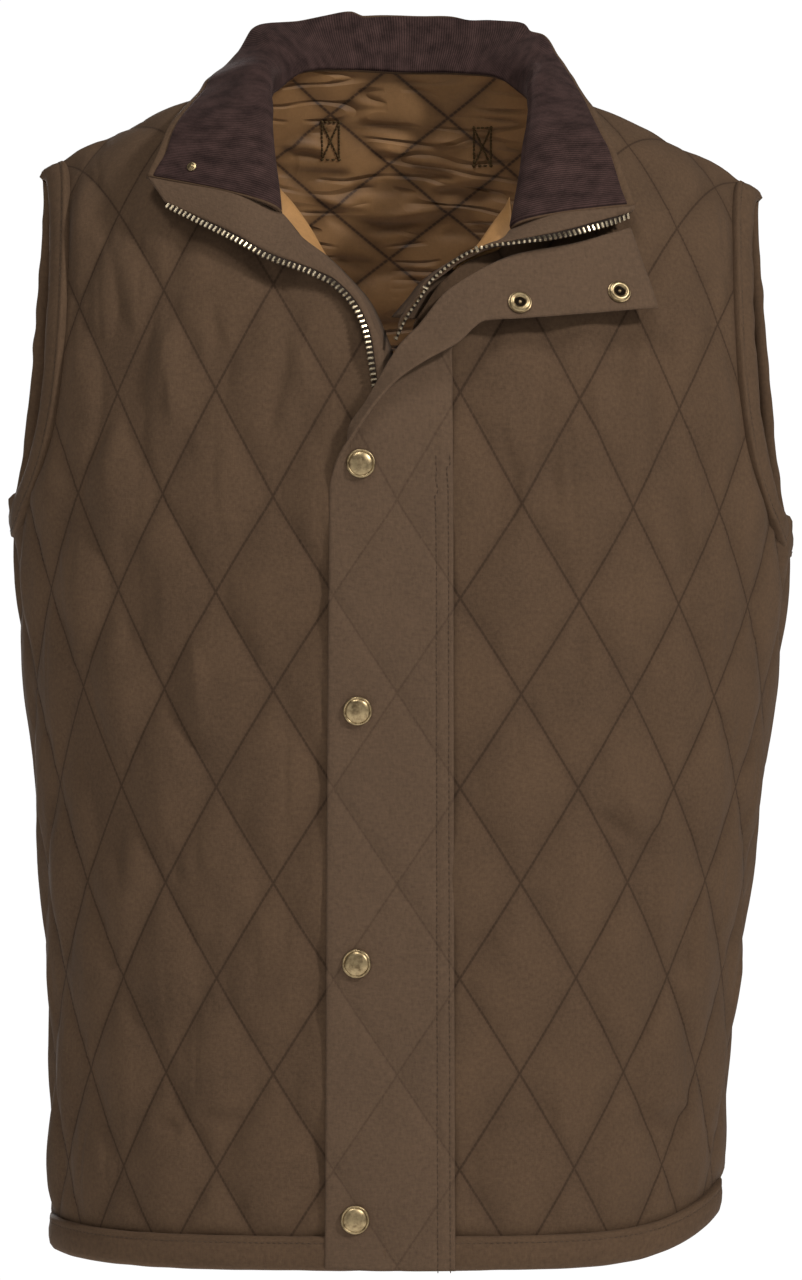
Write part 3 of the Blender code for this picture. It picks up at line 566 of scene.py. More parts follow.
# creases: start x, z, end x, z, half width, depth (below zero is a trough)
creases = {
    "front_right": [
        (-0.172, -0.085, -0.176, -0.215, 0.006, -0.0030), (-0.153, -0.110, -0.150, -0.222, 0.005, -0.0024),
        (-0.133, -0.125, -0.137, -0.190, 0.005, 0.0020), (-0.108, -0.118, -0.110, -0.175, 0.005, -0.0018),
        (-0.070, -0.132, -0.073, -0.200, 0.005, -0.0020), (-0.056, -0.128, -0.052, -0.180, 0.005, 0.0014),
        (-0.186, -0.330, -0.172, -0.470, 0.009, -0.0042), (-0.164, -0.250, -0.160, -0.330, 0.006, -0.0018),
        (-0.150, -0.600, -0.124, -0.604, 0.004, -0.0016), (-0.122, -0.594, -0.084, -0.597, 0.004, -0.0014),
        (-0.118, -0.300, -0.122, -0.380, 0.006, 0.0014), (-0.160, -0.520, -0.140, -0.560, 0.006, -0.0018),
        (-0.060, -0.470, -0.064, -0.540, 0.007, 0.0012), (-0.030, -0.250, -0.040, -0.330, 0.006, -0.0016)],
    "front_left": [
        (0.058, -0.190, 0.061, -0.270, 0.005, -0.0020), (0.078, -0.175, 0.076, -0.262, 0.006, 0.0016),
        (0.091, -0.160, 0.088, -0.245, 0.005, -0.0018), (0.112, -0.130, 0.109, -0.225, 0.006, 0.0016),
        (0.131, -0.110, 0.135, -0.190, 0.005, -0.0020), (0.158, -0.120, 0.156, -0.220, 0.006, -0.0022),
        (0.172, -0.210, 0.166, -0.300, 0.006, -0.0020), (0.107, -0.290, 0.104, -0.345, 0.005, -0.0016),
        (0.113, -0.421, 0.146, -0.434, 0.004, -0.0026), (0.127, -0.408, 0.162, -0.428, 0.005, 0.0018),
        (0.138, -0.595, 0.171, -0.607, 0.004, -0.0024), (0.150, -0.582, 0.182, -0.600, 0.004, 0.0016),
        (0.166, -0.470, 0.178, -0.520, 0.006, -0.0022), (0.060, -0.600, 0.095, -0.596, 0.004, -0.0012)],
    "back": [
        (-0.150, -0.090, -0.156, -0.230, 0.007, -0.0028), (-0.118, -0.120, -0.112, -0.210, 0.006, 0.0018),
        (-0.060, -0.110, -0.066, -0.200, 0.006, -0.0018), (0.040, -0.120, 0.036, -0.230, 0.007, -0.0020),
        (0.098, -0.100, 0.104, -0.200, 0.006, 0.0018), (0.146, -0.100, 0.150, -0.240, 0.007, -0.0028),
        (-0.180, -0.380, -0.120, -0.402, 0.006, -0.0024), (-0.170, -0.410, -0.100, -0.424, 0.006, 0.0018),
        (0.110, -0.392, 0.178, -0.372, 0.006, -0.0026), (0.060, -0.420, 0.150, -0.404, 0.006, 0.0016),
        (-0.050, -0.430, 0.040, -0.436, 0.006, -0.0016), (-0.150, -0.600, -0.100, -0.592, 0.005, -0.0016),
        (0.100, -0.590, 0.160, -0.606, 0.005, -0.0020), (-0.010, -0.590, -0.016, -0.660, 0.007, 0.0016)]}


def creaseLift(x, z, rows, power=2.0):
    lift = np.zeros_like(x)
    for number, (startX, startZ, endX, endZ, width, depth) in enumerate(rows):
        alongX, alongZ = endX - startX, endZ - startZ
        size = math.hypot(alongX, alongZ)
        part = ((x - startX) * alongX + (z - startZ) * alongZ) / size ** 2
        bow = 0.05 * size * np.sin(part * 4.2 + number * 1.7)
        off = ((x - startX) * alongZ - (z - startZ) * alongX) / size + bow
        inside = np.sin(np.clip(part, 0, 1) * math.pi) ** 0.8
        lift += depth * inside * np.exp(-np.abs(off / (width * (0.7 + 0.5 * inside))) ** power)
    return lift


# quilted panel: a grid that follows the sewn lines, trimmed to the panel's edges
panels = {"cell": {"front_right": 18, "front_left": 18, "back": 13}, "plump": 0.0056, "rest": -0.0030,
          "reach": 0.012, "ripple": 0.0014, "wave": 0.0017, "wrinkle": 0.0017, "inner": -0.0036,
          "deepest": -0.0034, "lap": 0.005, "edge": 0.007, "calm": 0.55, "crease": 1.9, "seamRise": 0.0022,
          "under": 0.0006, "inset": 0.004, "armBand": 0.016, "hemBand": 0.020, "flatHalf": 0.385,
          "flatLow": -0.695}


def panelLimits(name):
    face = "back" if name.endswith("back") else "front"
    return face, {"front_right": -1, "front_left": 1}.get(name.removeprefix("lining_"), 0)


# metres round the body for each unit of u
def metresAcross(u, s, face):
    return np.linalg.norm(slopes(np.clip(u, -0.97, 0.97), s, face)[0], axis=-1)


# trims places to a panel: the armhole, the front edge or the neck, the hem and the shoulder seam
def trim(u, s, face, side):
    s = np.clip(s, -1 + panels["inset"] / skirt, 1 + panels["lap"])
    tau = np.clip(s, 0, 1)
    inset = panels["inset"] * smoothStep(tau / 0.05) / metresAcross(u, s, face)
    reach = 1 - scoop(tau, face) - inset + panels["lap"]
    if face == "back":
        u = np.clip(u, -reach, reach)
        return u, np.minimum(s, neckLimit(u) + panels["lap"])
    edgeU, edgeS = frontEdges[side]
    inner = np.interp(s, edgeS, edgeU)
    if side > 0:
        return np.clip(u, inner, np.maximum(reach, inner)), s
    return np.clip(u, np.minimum(-reach, inner), inner), s


# window: half width, low edge and skip; outside it only every so many grid lines are kept
def quiltGrid(name, quilt, cell, kind, window=None):
    face, side = panelLimits(name)
    stepX, stepZ = quilt["wide"] / (2 * cell), quilt["tall"] / (2 * cell)
    top = body["chestZ"] + np.interp(1.0, *riseTables[kind]) + stepZ
    flatHalf, flatLow = panels["flatHalf"], panels["flatLow"]
    i = np.arange(math.floor((-flatHalf - quilt["x"]) / stepX),
                  math.ceil((flatHalf - quilt["x"]) / stepX) + 1)
    j = np.arange(math.floor((flatLow - quilt["z"]) / stepZ), math.ceil((top - quilt["z"]) / stepZ) + 1)
    if window:
        half, low, skip = window
        i = i[(np.abs(quilt["x"] + i * stepX) < half) | (i % skip == 0)]
        j = j[(quilt["z"] + j * stepZ > low) | (j % skip == 0)]
    flatX, flatZ = np.meshgrid(quilt["x"] + i * stepX, quilt["z"] + j * stepZ)
    u, s = fromFlat(flatX, flatZ, face, kind)
    wide = ringWidth(s, u, face)
    over = np.abs(flatX - wide[1]) > wide[0] * math.pi / 2
    u = np.where(over, np.sign(flatX) * (1 + panels["lap"]), u)
    newU, newS = trim(u, s, face, side)
    kept = (np.abs(newU - u) < 1e-9) & (np.abs(newS - s) < 1e-9) & ~over
    cells = kept[:-1, :-1] | kept[1:, :-1] | kept[:-1, 1:] | kept[1:, 1:]
    a = np.arange(u.size).reshape(u.shape)
    quads = np.stack([a[:-1, :-1], a[:-1, 1:], a[1:, 1:], a[1:, :-1]], axis=-1)[cells]
    used, quads = np.unique(quads, return_inverse=True)
    return newU.ravel()[used], newS.ravel()[used], quads.reshape(-1, 4), face


def rimEdges(quads):
    pairs = np.concatenate([quads[:, [k, (k + 1) % 4]] for k in range(4)])
    count = int(quads.max()) + 1
    key, back = pairs[:, 0] * count + pairs[:, 1], pairs[:, 1] * count + pairs[:, 0]
    return pairs[~np.isin(key, back)]


def closeSheet(quads, count):
    rim = rimEdges(quads)
    faces = [tuple(quad) for quad in quads.tolist()]
    faces += [tuple(value + count for value in quad[::-1]) for quad in quads.tolist()]
    faces += [(b, a, a + count, b + count) for a, b in rim.tolist()]
    return faces


# closed sheet between two layers of one trimmed grid, carrying the groove attribute of painted shade
def clothPiece(name, node, slotName, layers, quads, flat, groove, material):
    faces = closeSheet(quads, len(flat))
    item = addPiece(name, np.concatenate(layers), faces, material, np.concatenate([flat, flat]),
                    {"groove": np.concatenate([groove, groove])})
    return settle(faceOut(item), slotName, node)


# height of the plumped cloth over its sewn lines, and how near each point is to a line, which the colour uses
# as painted shade along the lines
def plumpLift(flat, quilt, sizes, seed):
    (offA, offB), (runA, runB), (lineA, lineB) = sewnLines(flat, quilt)
    reach = sizes["reach"]
    puff = (1 - np.exp(-(offA / reach) ** 1.15)) * (1 - np.exp(-(offB / reach) ** 1.15))
    x, z = flat[..., 0], flat[..., 1]
    lift = sizes["plump"] * puff * (1 + 0.22 * noise(x / 0.06, z / 0.08, seed))
    for off, run, line in ((offA, runA, lineA), (offB, runB, lineB)):
        pucker = noise(run / 0.0085, line * 5.3 + off / 0.030, seed + 3)
        lift += sizes["ripple"] * pucker * np.exp(-off / 0.010) * (1 - np.exp(-off / 0.002))
    waves = noise(x / 0.035, z / 0.075, seed + 1) + 0.5 * noise(x / 0.014, z / 0.045, seed + 2)
    lift += sizes["wave"] * waves * puff
    folded = noise(x / 0.020, z / 0.085, seed + 5)
    patches = np.clip(0.4 + noise(x / 0.05, z / 0.05, seed + 6), 0, 1)
    lift -= sizes["wrinkle"] * np.exp(-(folded / 0.16) ** 2) * patches * puff
    return lift, np.exp(-np.minimum(offA, offB) / 0.0035)


def quiltPanel(name, quilt, material, seed):
    kind = "back" if name == "back" else "front"
    u, s, quads, face = quiltGrid(name, quilt, panels["cell"][name], kind)
    flat = toFlat(u, s, face, kind)
    lift, groove = plumpLift(flat, quilt, panels, seed)
    lift *= 1 - panels["calm"] * smoothStep((s - 0.45) / 0.45)
    place = torso(u, s, face)
    across = metresAcross(u, s, face)
    seamOff = np.abs(1 - np.abs(u)) * across
    armOff = np.maximum((1 - scoop(np.clip(s, 0, 1), face) - np.abs(u)) * across - panels["armBand"], 0)
    hemOff = np.maximum((s + 1) * skirt - panels["hemBand"], 0)
    topOff = np.maximum((neckLimit(u) if face == "back" else 1) - s, 0) * 0.2
    sewn = np.minimum(np.minimum(np.where(s < 0.02, seamOff, armOff), hemOff), topOff)
    hold = 1 - np.exp(-(sewn / panels["edge"]) ** 1.1)
    folds = panels["crease"] * creaseLift(place[:, 0], place[:, 2], creases[name], 1.4)
    lift += folds
    # painted shade in the crease troughs
    groove = np.maximum(groove, np.clip(-folds / 0.006, 0, 0.7))
    lift = np.maximum(panels["rest"] + lift * hold, panels["deepest"])
    atSeam = np.maximum(smoothStep((s - 0.80) / 0.18), smoothStep((np.abs(u) - 0.93) / 0.06))
    lift += panels["seamRise"] * atSeam
    if face == "back":
        # the back passes under the fronts at the side and shoulder seams
        atSide = smoothStep((np.abs(u) - 0.985) / 0.010)
        atShoulder = smoothStep((s - 0.985) / 0.010) * smoothStep((0.75 - np.abs(u)) / 0.10)
        lift -= panels["under"] * np.where(s < 0.5, atSide, atShoulder)
    # painted shade beside the seams and bound edges
    groove = np.maximum(groove, 0.5 * np.exp(-sewn / 0.004))
    normal = outward(u, s, face)
    layers = [place + normal * lift[:, None], place + normal * panels["inner"]]
    return clothPiece(name + "_quilt", name, "shell", layers, quads, flat, groove, material)


quiltedPieces = {"front_right": quiltPanel("front_right", shellQuilt, cotton, 1),
                 "front_left": quiltPanel("front_left", shellQuilt, cotton, 2),
                 "back": quiltPanel("back", backQuilt, cottonBack, 3)}
print("quilted panels", [len(item.data.polygons) for item in quiltedPieces.values()])


# lining: its own lattice, plumped towards the wearer, with level creases below the back neck
linings = {"cell": {"lining_back": 16, "lining_front_right": 7, "lining_front_left": 7}, "outer": -0.0040,
           "inner": -0.0050, "plump": 0.0030, "reach": 0.009, "ripple": 0.0008, "wave": 0.0010,
           "wrinkle": 0.0006, "window": {"lining_back": (0.100, -0.175, 4)}, "armBand": 0.022,
           "hemBand": 0.028}
liningCreases = [
    (-0.036, -0.0035, 0.022, -0.0055, 0.0024, -0.0022), (0.012, -0.0110, 0.044, -0.0085, 0.0022, 0.0018),
    (-0.078, -0.0270, -0.030, -0.0325, 0.0026, -0.0026), (-0.074, -0.0120, -0.046, -0.0150, 0.0022, 0.0020),
    (-0.070, -0.0200, -0.048, -0.0180, 0.0020, -0.0018), (0.006, -0.0300, 0.046, -0.0315, 0.0024, -0.0026),
    (-0.032, -0.0345, 0.022, -0.0410, 0.0026, -0.0024), (0.014, -0.0370, 0.062, -0.0335, 0.0026, 0.0024),
    (0.020, -0.0440, 0.066, -0.0400, 0.0024, -0.0022), (-0.046, -0.0580, 0.016, -0.0610, 0.0026, -0.0026),
    (-0.020, -0.0520, 0.050, -0.0540, 0.0030, 0.0018), (0.022, -0.0680, 0.062, -0.0640, 0.0026, -0.0022),
    (-0.050, -0.0840, 0.010, -0.0870, 0.0030, -0.0022), (0.044, -0.0180, 0.062, -0.0215, 0.0020, -0.0018),
    (-0.064, -0.0060, -0.044, -0.0040, 0.0018, -0.0014), (-0.020, -0.0160, 0.010, -0.0170, 0.0026, 0.0014),
    (-0.060, -0.0440, -0.020, -0.0480, 0.0030, 0.0018), (-0.030, -0.1180, 0.036, -0.1240, 0.0050, -0.0020),
    (-0.050, -0.1800, 0.040, -0.1860, 0.0060, -0.0018), (-0.080, -0.3100, 0.010, -0.3200, 0.0060, -0.0018)]


def liningPanel(name, seed):
    kind = "level" if name == "lining_back" else "front"
    u, s, quads, face = quiltGrid(name, liningQuilt, linings["cell"][name], kind, linings["window"].get(name))
    flat = toFlat(u, s, face, kind)
    lift, groove = plumpLift(flat, liningQuilt, linings, seed)
    place, normal = torso(u, s, face), outward(u, s, face)
    armOff = np.maximum(armholeGap(place, face) - linings["armBand"], 0)
    sewn = np.minimum(armOff, np.maximum((s + 1) * skirt - linings["hemBand"], 0))
    if face == "back":
        folds = creaseLift(place[:, 0], place[:, 2], liningCreases, 1.15) * 2.0
        lift += folds
        # painted shade in the lining's crease troughs
        groove = np.maximum(groove, np.clip(-folds / 0.0035, 0, 0.6))
        sewn = np.minimum(sewn, np.maximum(neckLimit(u) - s, 0) * 0.2)
    lift = np.maximum(lift, -0.0004) * (1 - np.exp(-sewn / 0.006))
    layers = [place + normal * linings["outer"], place + normal * (linings["inner"] - lift)[:, None]]
    return clothPiece(name + "_cloth", name, "lining", layers, quads, flat, groove, liningCloth)


liningPieces = {name: liningPanel(name, seed) for seed, name in enumerate(linings["cell"], start=5)}
print("lining", [len(item.data.polygons) for item in liningPieces.values()])


# bound edges: a folded strip, drawn as a closed section of inset and lift carried along the edge;
# "edgePoint" is the section's point at the very edge, "opened" the width of the strip unfolded
bandSection = [
    (0.0162, -0.0016), (0.0160, 0.0004), (0.0152, 0.0014), (0.0140, 0.0015), (0.0131, 0.0011),
    (0.0122, 0.0015), (0.0095, 0.0020), (0.0060, 0.0019), (0.0028, 0.0011), (0.0008, -0.0006),
    (0.0000, -0.0028), (0.0010, -0.0054), (0.0040, -0.0068), (0.0100, -0.0070), (0.0150, -0.0066),
    (0.0162, -0.0050)]
bands = {"stations": 150, "hemWidth": 0.020, "topBlend": 0.35, "tipRoom": 0.7, "tipSink": 0.0016,
         "sideSink": 0.0014, "width": 0.016, "edgePoint": 10, "stitchIn": 0.0131,
         "opened": {"armhole": 0.036, "hem": 0.045}}


def tube(name, grid, material, flat, loop):
    stations, around = grid.shape[:2]
    faces = []
    for i in range(stations if loop else stations - 1):
        here, there = i * around, (i + 1) % stations * around
        for k in range(around):
            turn = (k + 1) % around
            faces.append((here + k, here + turn, there + turn, there + k))
    if not loop:
        faces.append(tuple(range(around))[::-1])
        faces.append(tuple(range((stations - 1) * around, stations * around)))
    return faceOut(addPiece(name, grid.reshape(-1, 3), faces, material, flat.reshape(-1, 2)))


def soften(values, width):
    reach = 3 * width
    kernel = np.exp(-0.5 * (np.arange(-reach, reach + 1) / width) ** 2)
    before, after = 2 * values[0] - values[reach:0:-1], 2 * values[-1] - values[-2:-reach - 2:-1]
    return np.convolve(np.concatenate([before, values, after]), kernel / kernel.sum(), "valid")


# places along an armhole, underarm to shoulder, set in from its edge
def armholePlaces(side, face, inset):
    tau = smoothStep(np.linspace(0, 1, bands["stations"]) ** 1.15)
    edges = []
    for shift in (0.0, -0.0005, 0.0005):
        at = np.clip(tau + shift, 0, 1)
        edges.append((side * (1 - scoop(at, face)), at))
    u, s = edges[0]
    along = torso(*edges[2], face) - torso(*edges[1], face)
    across, upward = slopes(u, s, face)
    inward = unit(np.cross(np.cross(across, upward), along))
    inward *= np.sign((inward * across).sum(-1) * -side + 1e-9)[:, None]
    share = np.clip((1 - tau) / bands["topBlend"], 0, 1)[:, None]
    inward = unit(inward * share + unit(-side * across) * (1 - share))
    inward[0] = unit(-upward[0])
    aa, ab, bb = (across * across).sum(-1), (across * upward).sum(-1), (upward * upward).sum(-1)
    ra, rb = (across * inward).sum(-1) * inset, (upward * inward).sum(-1) * inset
    det = aa * bb - ab * ab
    moveU, moveS = soften((ra * bb - rb * ab) / det, 3), soften((rb * aa - ra * ab) / det, 3)
    newU = u + moveU
    newS = np.minimum(s + moveS, 1 - bands["tipRoom"] * (1 - tau))
    newU[0] = side * 1.0
    newS[-1] = 1.0
    return newU, newS


# the outer side of a binding lies lower at the shoulder tip, and at the side seams of the hem
def tipSink(s, lift):
    return bands["tipSink"] * smoothStep((s - 0.75) / 0.22) * (lift > -0.002)


def sideSink(u, lift):
    return bands["sideSink"] * smoothStep((np.abs(u) - 0.86) / 0.12) * (lift > -0.002)


# swell puffs the strip's outer side unevenly, station by station
def foldedStrip(name, node, grid, run, opened, swell, loop):
    count = len(bandSection)
    flat = np.stack([np.repeat(run[:, None], count, 1),
                     np.repeat(np.linspace(0, opened, count)[None], len(run), 0)], axis=-1)
    middle = grid.mean(axis=1, keepdims=True)
    outerOnly = np.array([1.0 if 0.001 < lift else 0.3 for _, lift in bandSection])[None, :, None]
    grid = middle + (grid - middle) * (1 + swell[:, None, None] * outerOnly)
    return settle(tube(name, grid, cottonPlain, flat, loop), "shell", node)


def armholeBand(side, name):
    loops = []
    for inset, lift in bandSection:
        parts = []
        for face in ("front", "back"):
            u, s = armholePlaces(side, face, inset)
            parts.append(cloth(u, s, face, lift - tipSink(s, lift)))
        loops.append(np.concatenate([parts[0], parts[1][-2:0:-1]]))
    grid = np.stack(loops, axis=1)
    edge = grid[:, bands["edgePoint"]]
    run = np.cumsum(np.linalg.norm(np.roll(edge, -1, axis=0) - edge, axis=1))
    swell = 0.10 * noise(run / 0.011, run * 0 + side * 9.1)
    return foldedStrip("armhole_binding_" + name, "armhole_band_" + name, grid, run,
                       bands["opened"]["armhole"], swell, True)


def hemBand(name, face, startU, endU, stations):
    scale = bands["hemWidth"] / bands["width"]
    u = np.linspace(startU, endU, stations)
    if face == "back":
        u = np.sin(u * math.pi / 2) * 0.35 + u * 0.65
    loops = []
    for inset, lift in bandSection:
        s = -1 + inset * scale / skirt
        loops.append(cloth(u, np.full_like(u, s), face, lift - sideSink(u, lift)))
    grid = np.stack(loops, axis=1)
    run = runAlong(grid[:, bands["edgePoint"]])
    swell = 0.06 * noise(run / 0.013, run * 0 + stations)
    return foldedStrip("hem_binding_" + name, "hem_band_" + name, grid, run, bands["opened"]["hem"],
                       swell, False)


bandPieces = [armholeBand(1, "left"), armholeBand(-1, "right"),
              hemBand("left", "front", frontEdges[1][0][0], 1.0, 130),
              hemBand("right", "front", frontEdges[-1][0][0], -1.0, 130),
              hemBand("back", "back", -1.0, 1.0, 220)]
print("bindings", [len(item.data.polygons) for item in bandPieces])


# collar: stands on the neck seam and falls open over the fronts; shell outside, corduroy inside
collar = {"stand": 0.016, "setIn": 0.0026, "crestIn": 0.002, "start": 0.006, "wall": 0.0015, "gap": 0.00015,
          "stations": 300, "rows": 30, "footDown": 0.0024, "footIn": 0.0080, "footRows": 5,
          "rim": (0.958, 0.972, 0.982, 0.991, 1.0)}
# edge of the collar from the wearer's right tip round the back: place along it, x, y, z;
# on the chest, x, z and lift instead
collarRight = [(0.000, -0.1440, -0.0500, 0.0140), (0.077, -0.1325, -0.0240, 0.0140)]
collarBack = [
    (0.154, -0.1205, 0.004, 0.0130), (0.220, -0.1110, 0.038, 0.0260), (0.268, -0.0990, 0.060, 0.0380),
    (0.308, -0.0900, 0.075, 0.0545), (0.385, -0.0580, 0.094, 0.0615), (0.440, -0.0310, 0.100, 0.0668),
    (0.460, -0.0225, 0.101, 0.0640), (0.538, 0.0200, 0.101, 0.0640), (0.615, 0.0540, 0.095, 0.0604),
    (0.662, 0.0745, 0.084, 0.0580), (0.680, 0.0790, 0.080, 0.0535), (0.702, 0.0865, 0.073, 0.0510),
    (0.765, 0.0985, 0.043, 0.0300), (0.843, 0.1078, 0.005, 0.0112)]
collarLeft = [(0.923, 0.1180, -0.0290, 0.0140), (1.000, 0.1330, -0.0680, 0.0140)]


def neckSeam():
    runs = []
    for side, order in ((-1, 1), (1, -1)):
        edgeU, edgeS = frontEdges[side]
        s = np.linspace(edgeS[-2] + collar["start"], 1, 4)[:3][::order]
        runs.append([("front", np.interp(value, edgeS, edgeU), value) for value in s])
    middle = [("back", value, float(neckLimit(value))) for value in np.linspace(-neckU, neckU, 7)]
    base, normals = [], []
    for face, u, s in runs[0] + middle + runs[1]:
        low = cloth(np.array([u]), np.array([s]), face, 0.0)[0]
        base.append(low)
        normals.append(cloth(np.array([u]), np.array([s]), face, 1.0)[0] - low)
    base, normals = np.array(base), np.array(normals)
    return base, normals, unit(np.cross(np.gradient(base, axis=0), normals))


def collarMiddle():
    base, normals, inward = neckSeam()
    edge = [onFront(*row[1:]) for row in collarRight] + [np.array(row[1:]) for row in collarBack]
    edge = np.array(edge + [onFront(*row[1:]) for row in collarLeft])
    knots = np.array([row[0] for row in collarRight + collarBack + collarLeft])
    v = np.linspace(0, 1, collar["stations"])
    base, edge = freeSpline(base, v), steadyCurve(knots, edge, v)
    normals, inward = unit(freeSpline(normals, v)), unit(freeSpline(inward, v))
    edge = edge + normals * 0.0010 * noise(v * 34, v * 0)[:, None]
    edge = edge + inward * 0.0008 * noise(v * 27, v * 0 + 4)[:, None]
    foot = base + inward * collar["setIn"]
    crest = foot + normals * collar["stand"] + inward * collar["crestIn"]
    w = np.append(np.linspace(0, 0.94, collar["rows"] - len(collar["rim"])), collar["rim"])[None, :, None]
    grid = foot[:, None] * (1 - w) ** 2 + crest[:, None] * 2 * w * (1 - w) + edge[:, None] * w ** 2
    low = np.linspace(1, 0, collar["footRows"] + 1)[:-1][None, :, None]
    under = foot[:, None] - low * (normals * collar["footIn"] + inward * collar["footDown"])[:, None]
    grid = np.concatenate([under, grid], axis=1)
    normal = unit(np.cross(np.gradient(grid, axis=0), np.gradient(grid, axis=1)))
    return grid, normal, v


# running width of a grid's rows
def acrossRun(grid):
    return np.pad(np.cumsum(np.linalg.norm(np.diff(grid, axis=1), axis=2), axis=1), ((0, 0), (1, 0)))


# flat coordinates of a grid: along its middle column, and across each row
def gridFlat(grid):
    columns = grid.shape[1]
    along = runAlong(grid[:, columns // 2])
    return np.stack([np.repeat(along[:, None], columns, 1), acrossRun(grid)], axis=-1)


def gridWall(name, upper, lower, flat, material, slotName, node, second=None):
    rows, columns = upper.shape[:2]
    points = np.concatenate([upper.reshape(-1, 3), lower.reshape(-1, 3)])
    faces = wallFaces(rows, columns)
    item = addPiece(name, points, faces, material, np.concatenate([flat.reshape(-1, 2)] * 2))
    if second:
        item.data.materials.append(second)
        below = [1 if min(face) >= rows * columns else 0 for face in faces]
        item.data.polygons.foreach_set("material_index", below)
    return settle(faceOut(item), slotName, node)


collarGrid, collarNormal, collarV = collarMiddle()
collarFlat = gridFlat(collarGrid)
collarWide = collarFlat[:, -1:, 1] - collarFlat[:, :, 1]
leaf = smoothStep((np.abs(collarV - 0.5) - 0.20) / 0.10)[:, None]
border = 0.0010 + 0.0030 * leaf
turnOver = smoothStep((border + 0.0008 - collarWide) / 0.0010)
endOff = np.minimum(collarFlat[:, :, 0], collarFlat[-1:, :, 0] - collarFlat[:, :, 0])
ends = smoothStep((0.0014 - endOff) / 0.0010)
turnOver = np.maximum(turnOver, ends)[..., None]
thick = collar["gap"] + collar["wall"]
gridWall("collar_outside", collarGrid + collarNormal * (-collar["gap"] + turnOver * thick),
         collarGrid - collarNormal * thick, collarFlat, cottonPlain, "shell", "collar_shell")
nap = 0.0009 * noise(collarFlat[..., 0] / 0.022, collarFlat[..., 1] / 0.03, 4)[..., None]
corduroyTop = collarGrid + collarNormal * ((thick + 0.0004 + nap) * (1 - turnOver) - 0.0003 * turnOver)
collarCorduroy = gridWall("collar_inside", corduroyTop, collarGrid - collarNormal * 0.0004 * turnOver,
                          collarFlat, corduroy, "corduroy", "collar_corduroy")
print("collar", len(collarCorduroy.data.polygons))


# facings of the turned-out fronts, each with one half of the open zip along its low edge: x, z, lift
facings = {-1: [(-0.1350, -0.0640, 0.0110), (-0.0985, -0.0810, 0.0100), (-0.0775, -0.0925, 0.0085),
                (-0.0590, -0.0990, 0.0070), (-0.0480, -0.1032, 0.0062), (-0.0375, -0.1085, 0.0055),
                (-0.0258, -0.1208, 0.0048), (-0.0182, -0.1370, 0.0042), (-0.0150, -0.1540, 0.0036),
                (-0.0132, -0.1690, 0.0030)],
           1: [(0.1308, -0.0700, 0.0125), (0.0938, -0.0815, 0.0125), (0.0660, -0.0872, 0.0118),
               (0.0520, -0.0900, 0.0112), (0.0378, -0.0945, 0.0106), (0.0211, -0.1062, 0.0100),
               (0.0124, -0.1173, 0.0094), (0.0043, -0.1286, 0.0086), (-0.0020, -0.1400, 0.0078)]}
# inner edge of each facing below the collar: x, z
facingRolls = {-1: rollLines[-1][::-1][1:],
               1: [(0.0610, -0.0835), (0.0500, -0.0872), (0.0355, -0.0925), (0.0188, -0.1040),
                   (0.0102, -0.1152), (0.0020, -0.1268)]}
# "wraps" are the rows turned in behind the roll: shift in u, lift, drop behind the collar
facing = {"wall": 0.0015, "rollLift": 0.0028, "stations": 170, "columns": 14, "bulge": 0.0012, "tape": 0.0045,
          "tapeWall": 0.0012, "teeth": 0.72,
          "wraps": [(-0.020, -0.0072, 0.0016), (0.012, -0.0052, 0.0010), (0.004, -0.0008, 0.0004)]}
collarEnds = {-1: collarGrid[0][collar["footRows"]:], 1: collarGrid[-1][collar["footRows"]:]}
zipLines = {}


def facingStrip(side, name):
    low = np.array([onFront(*row) for row in facings[side]])
    roll = np.array(facingRolls[side])[:len(low) - 3]
    end = collarEnds[side]
    rollU, rollS = findPlace(roll[:, 0], roll[:, 1])
    high = np.concatenate([end[[-1, len(end) // 2, 0]], cloth(rollU, rollS, "front", facing["rollLift"])])
    down = unit(low - high)
    normal = unit(np.cross(np.gradient(low, axis=0), down))
    normal *= -np.sign(normal[:, 1:2])
    wraps = [np.concatenate([high[:3] - normal[:3] * drop,
                             cloth(rollU + shift * -side, rollS, "front", lift)])
             for shift, lift, drop in facing["wraps"]]
    v = np.linspace(0, 1, facing["stations"])
    high, low, normal = freeSpline(high, v), freeSpline(low, v), unit(freeSpline(normal, v))
    wraps = [freeSpline(rows, v) for rows in wraps]
    down = unit(low - high)
    w = np.linspace(0, 1, facing["columns"])
    swell = facing["bulge"] * (1 + 0.6 * noise(v * 14, v * 0 + side * 2.3))[:, None] * (4 * w * (1 - w))[None]
    share = w[None, :, None]
    strip = high[:, None] * (1 - share) + low[:, None] * share + normal[:, None] * swell[..., None]
    strip = np.concatenate([np.stack(wraps, axis=1), strip], axis=1)
    lift = unit(np.cross(np.gradient(strip, axis=0), np.gradient(strip, axis=1)))
    lift *= np.sign((lift[:, -1] * normal).sum(-1))[:, None, None]
    half = lift * facing["wall"] / 2
    gridWall("facing_strip_" + name, strip + half, strip - half, gridFlat(strip), cottonFlapPlain, "shell",
             "facing_" + name)
    reach = np.linspace(0.0002, facing["tape"], 5)
    tape = low[:, None] + down[:, None] * reach[None, :, None] - normal[:, None] * 0.0002
    half = normal[:, None] * facing["tapeWall"] / 2
    gridWall("zip_tape_" + name, tape + half, tape - half, gridFlat(tape), tapeCloth, "tape",
             "zip_open_" + name)
    zipLines[side] = (low + down * facing["tape"] * facing["teeth"], normal)


cottonFlapPlain = cottonMaterial("flap cotton plain", flapBrown, brownDark, flapGrain, mottle=0.05)
facingStrip(-1, "right")
facingStrip(1, "left")

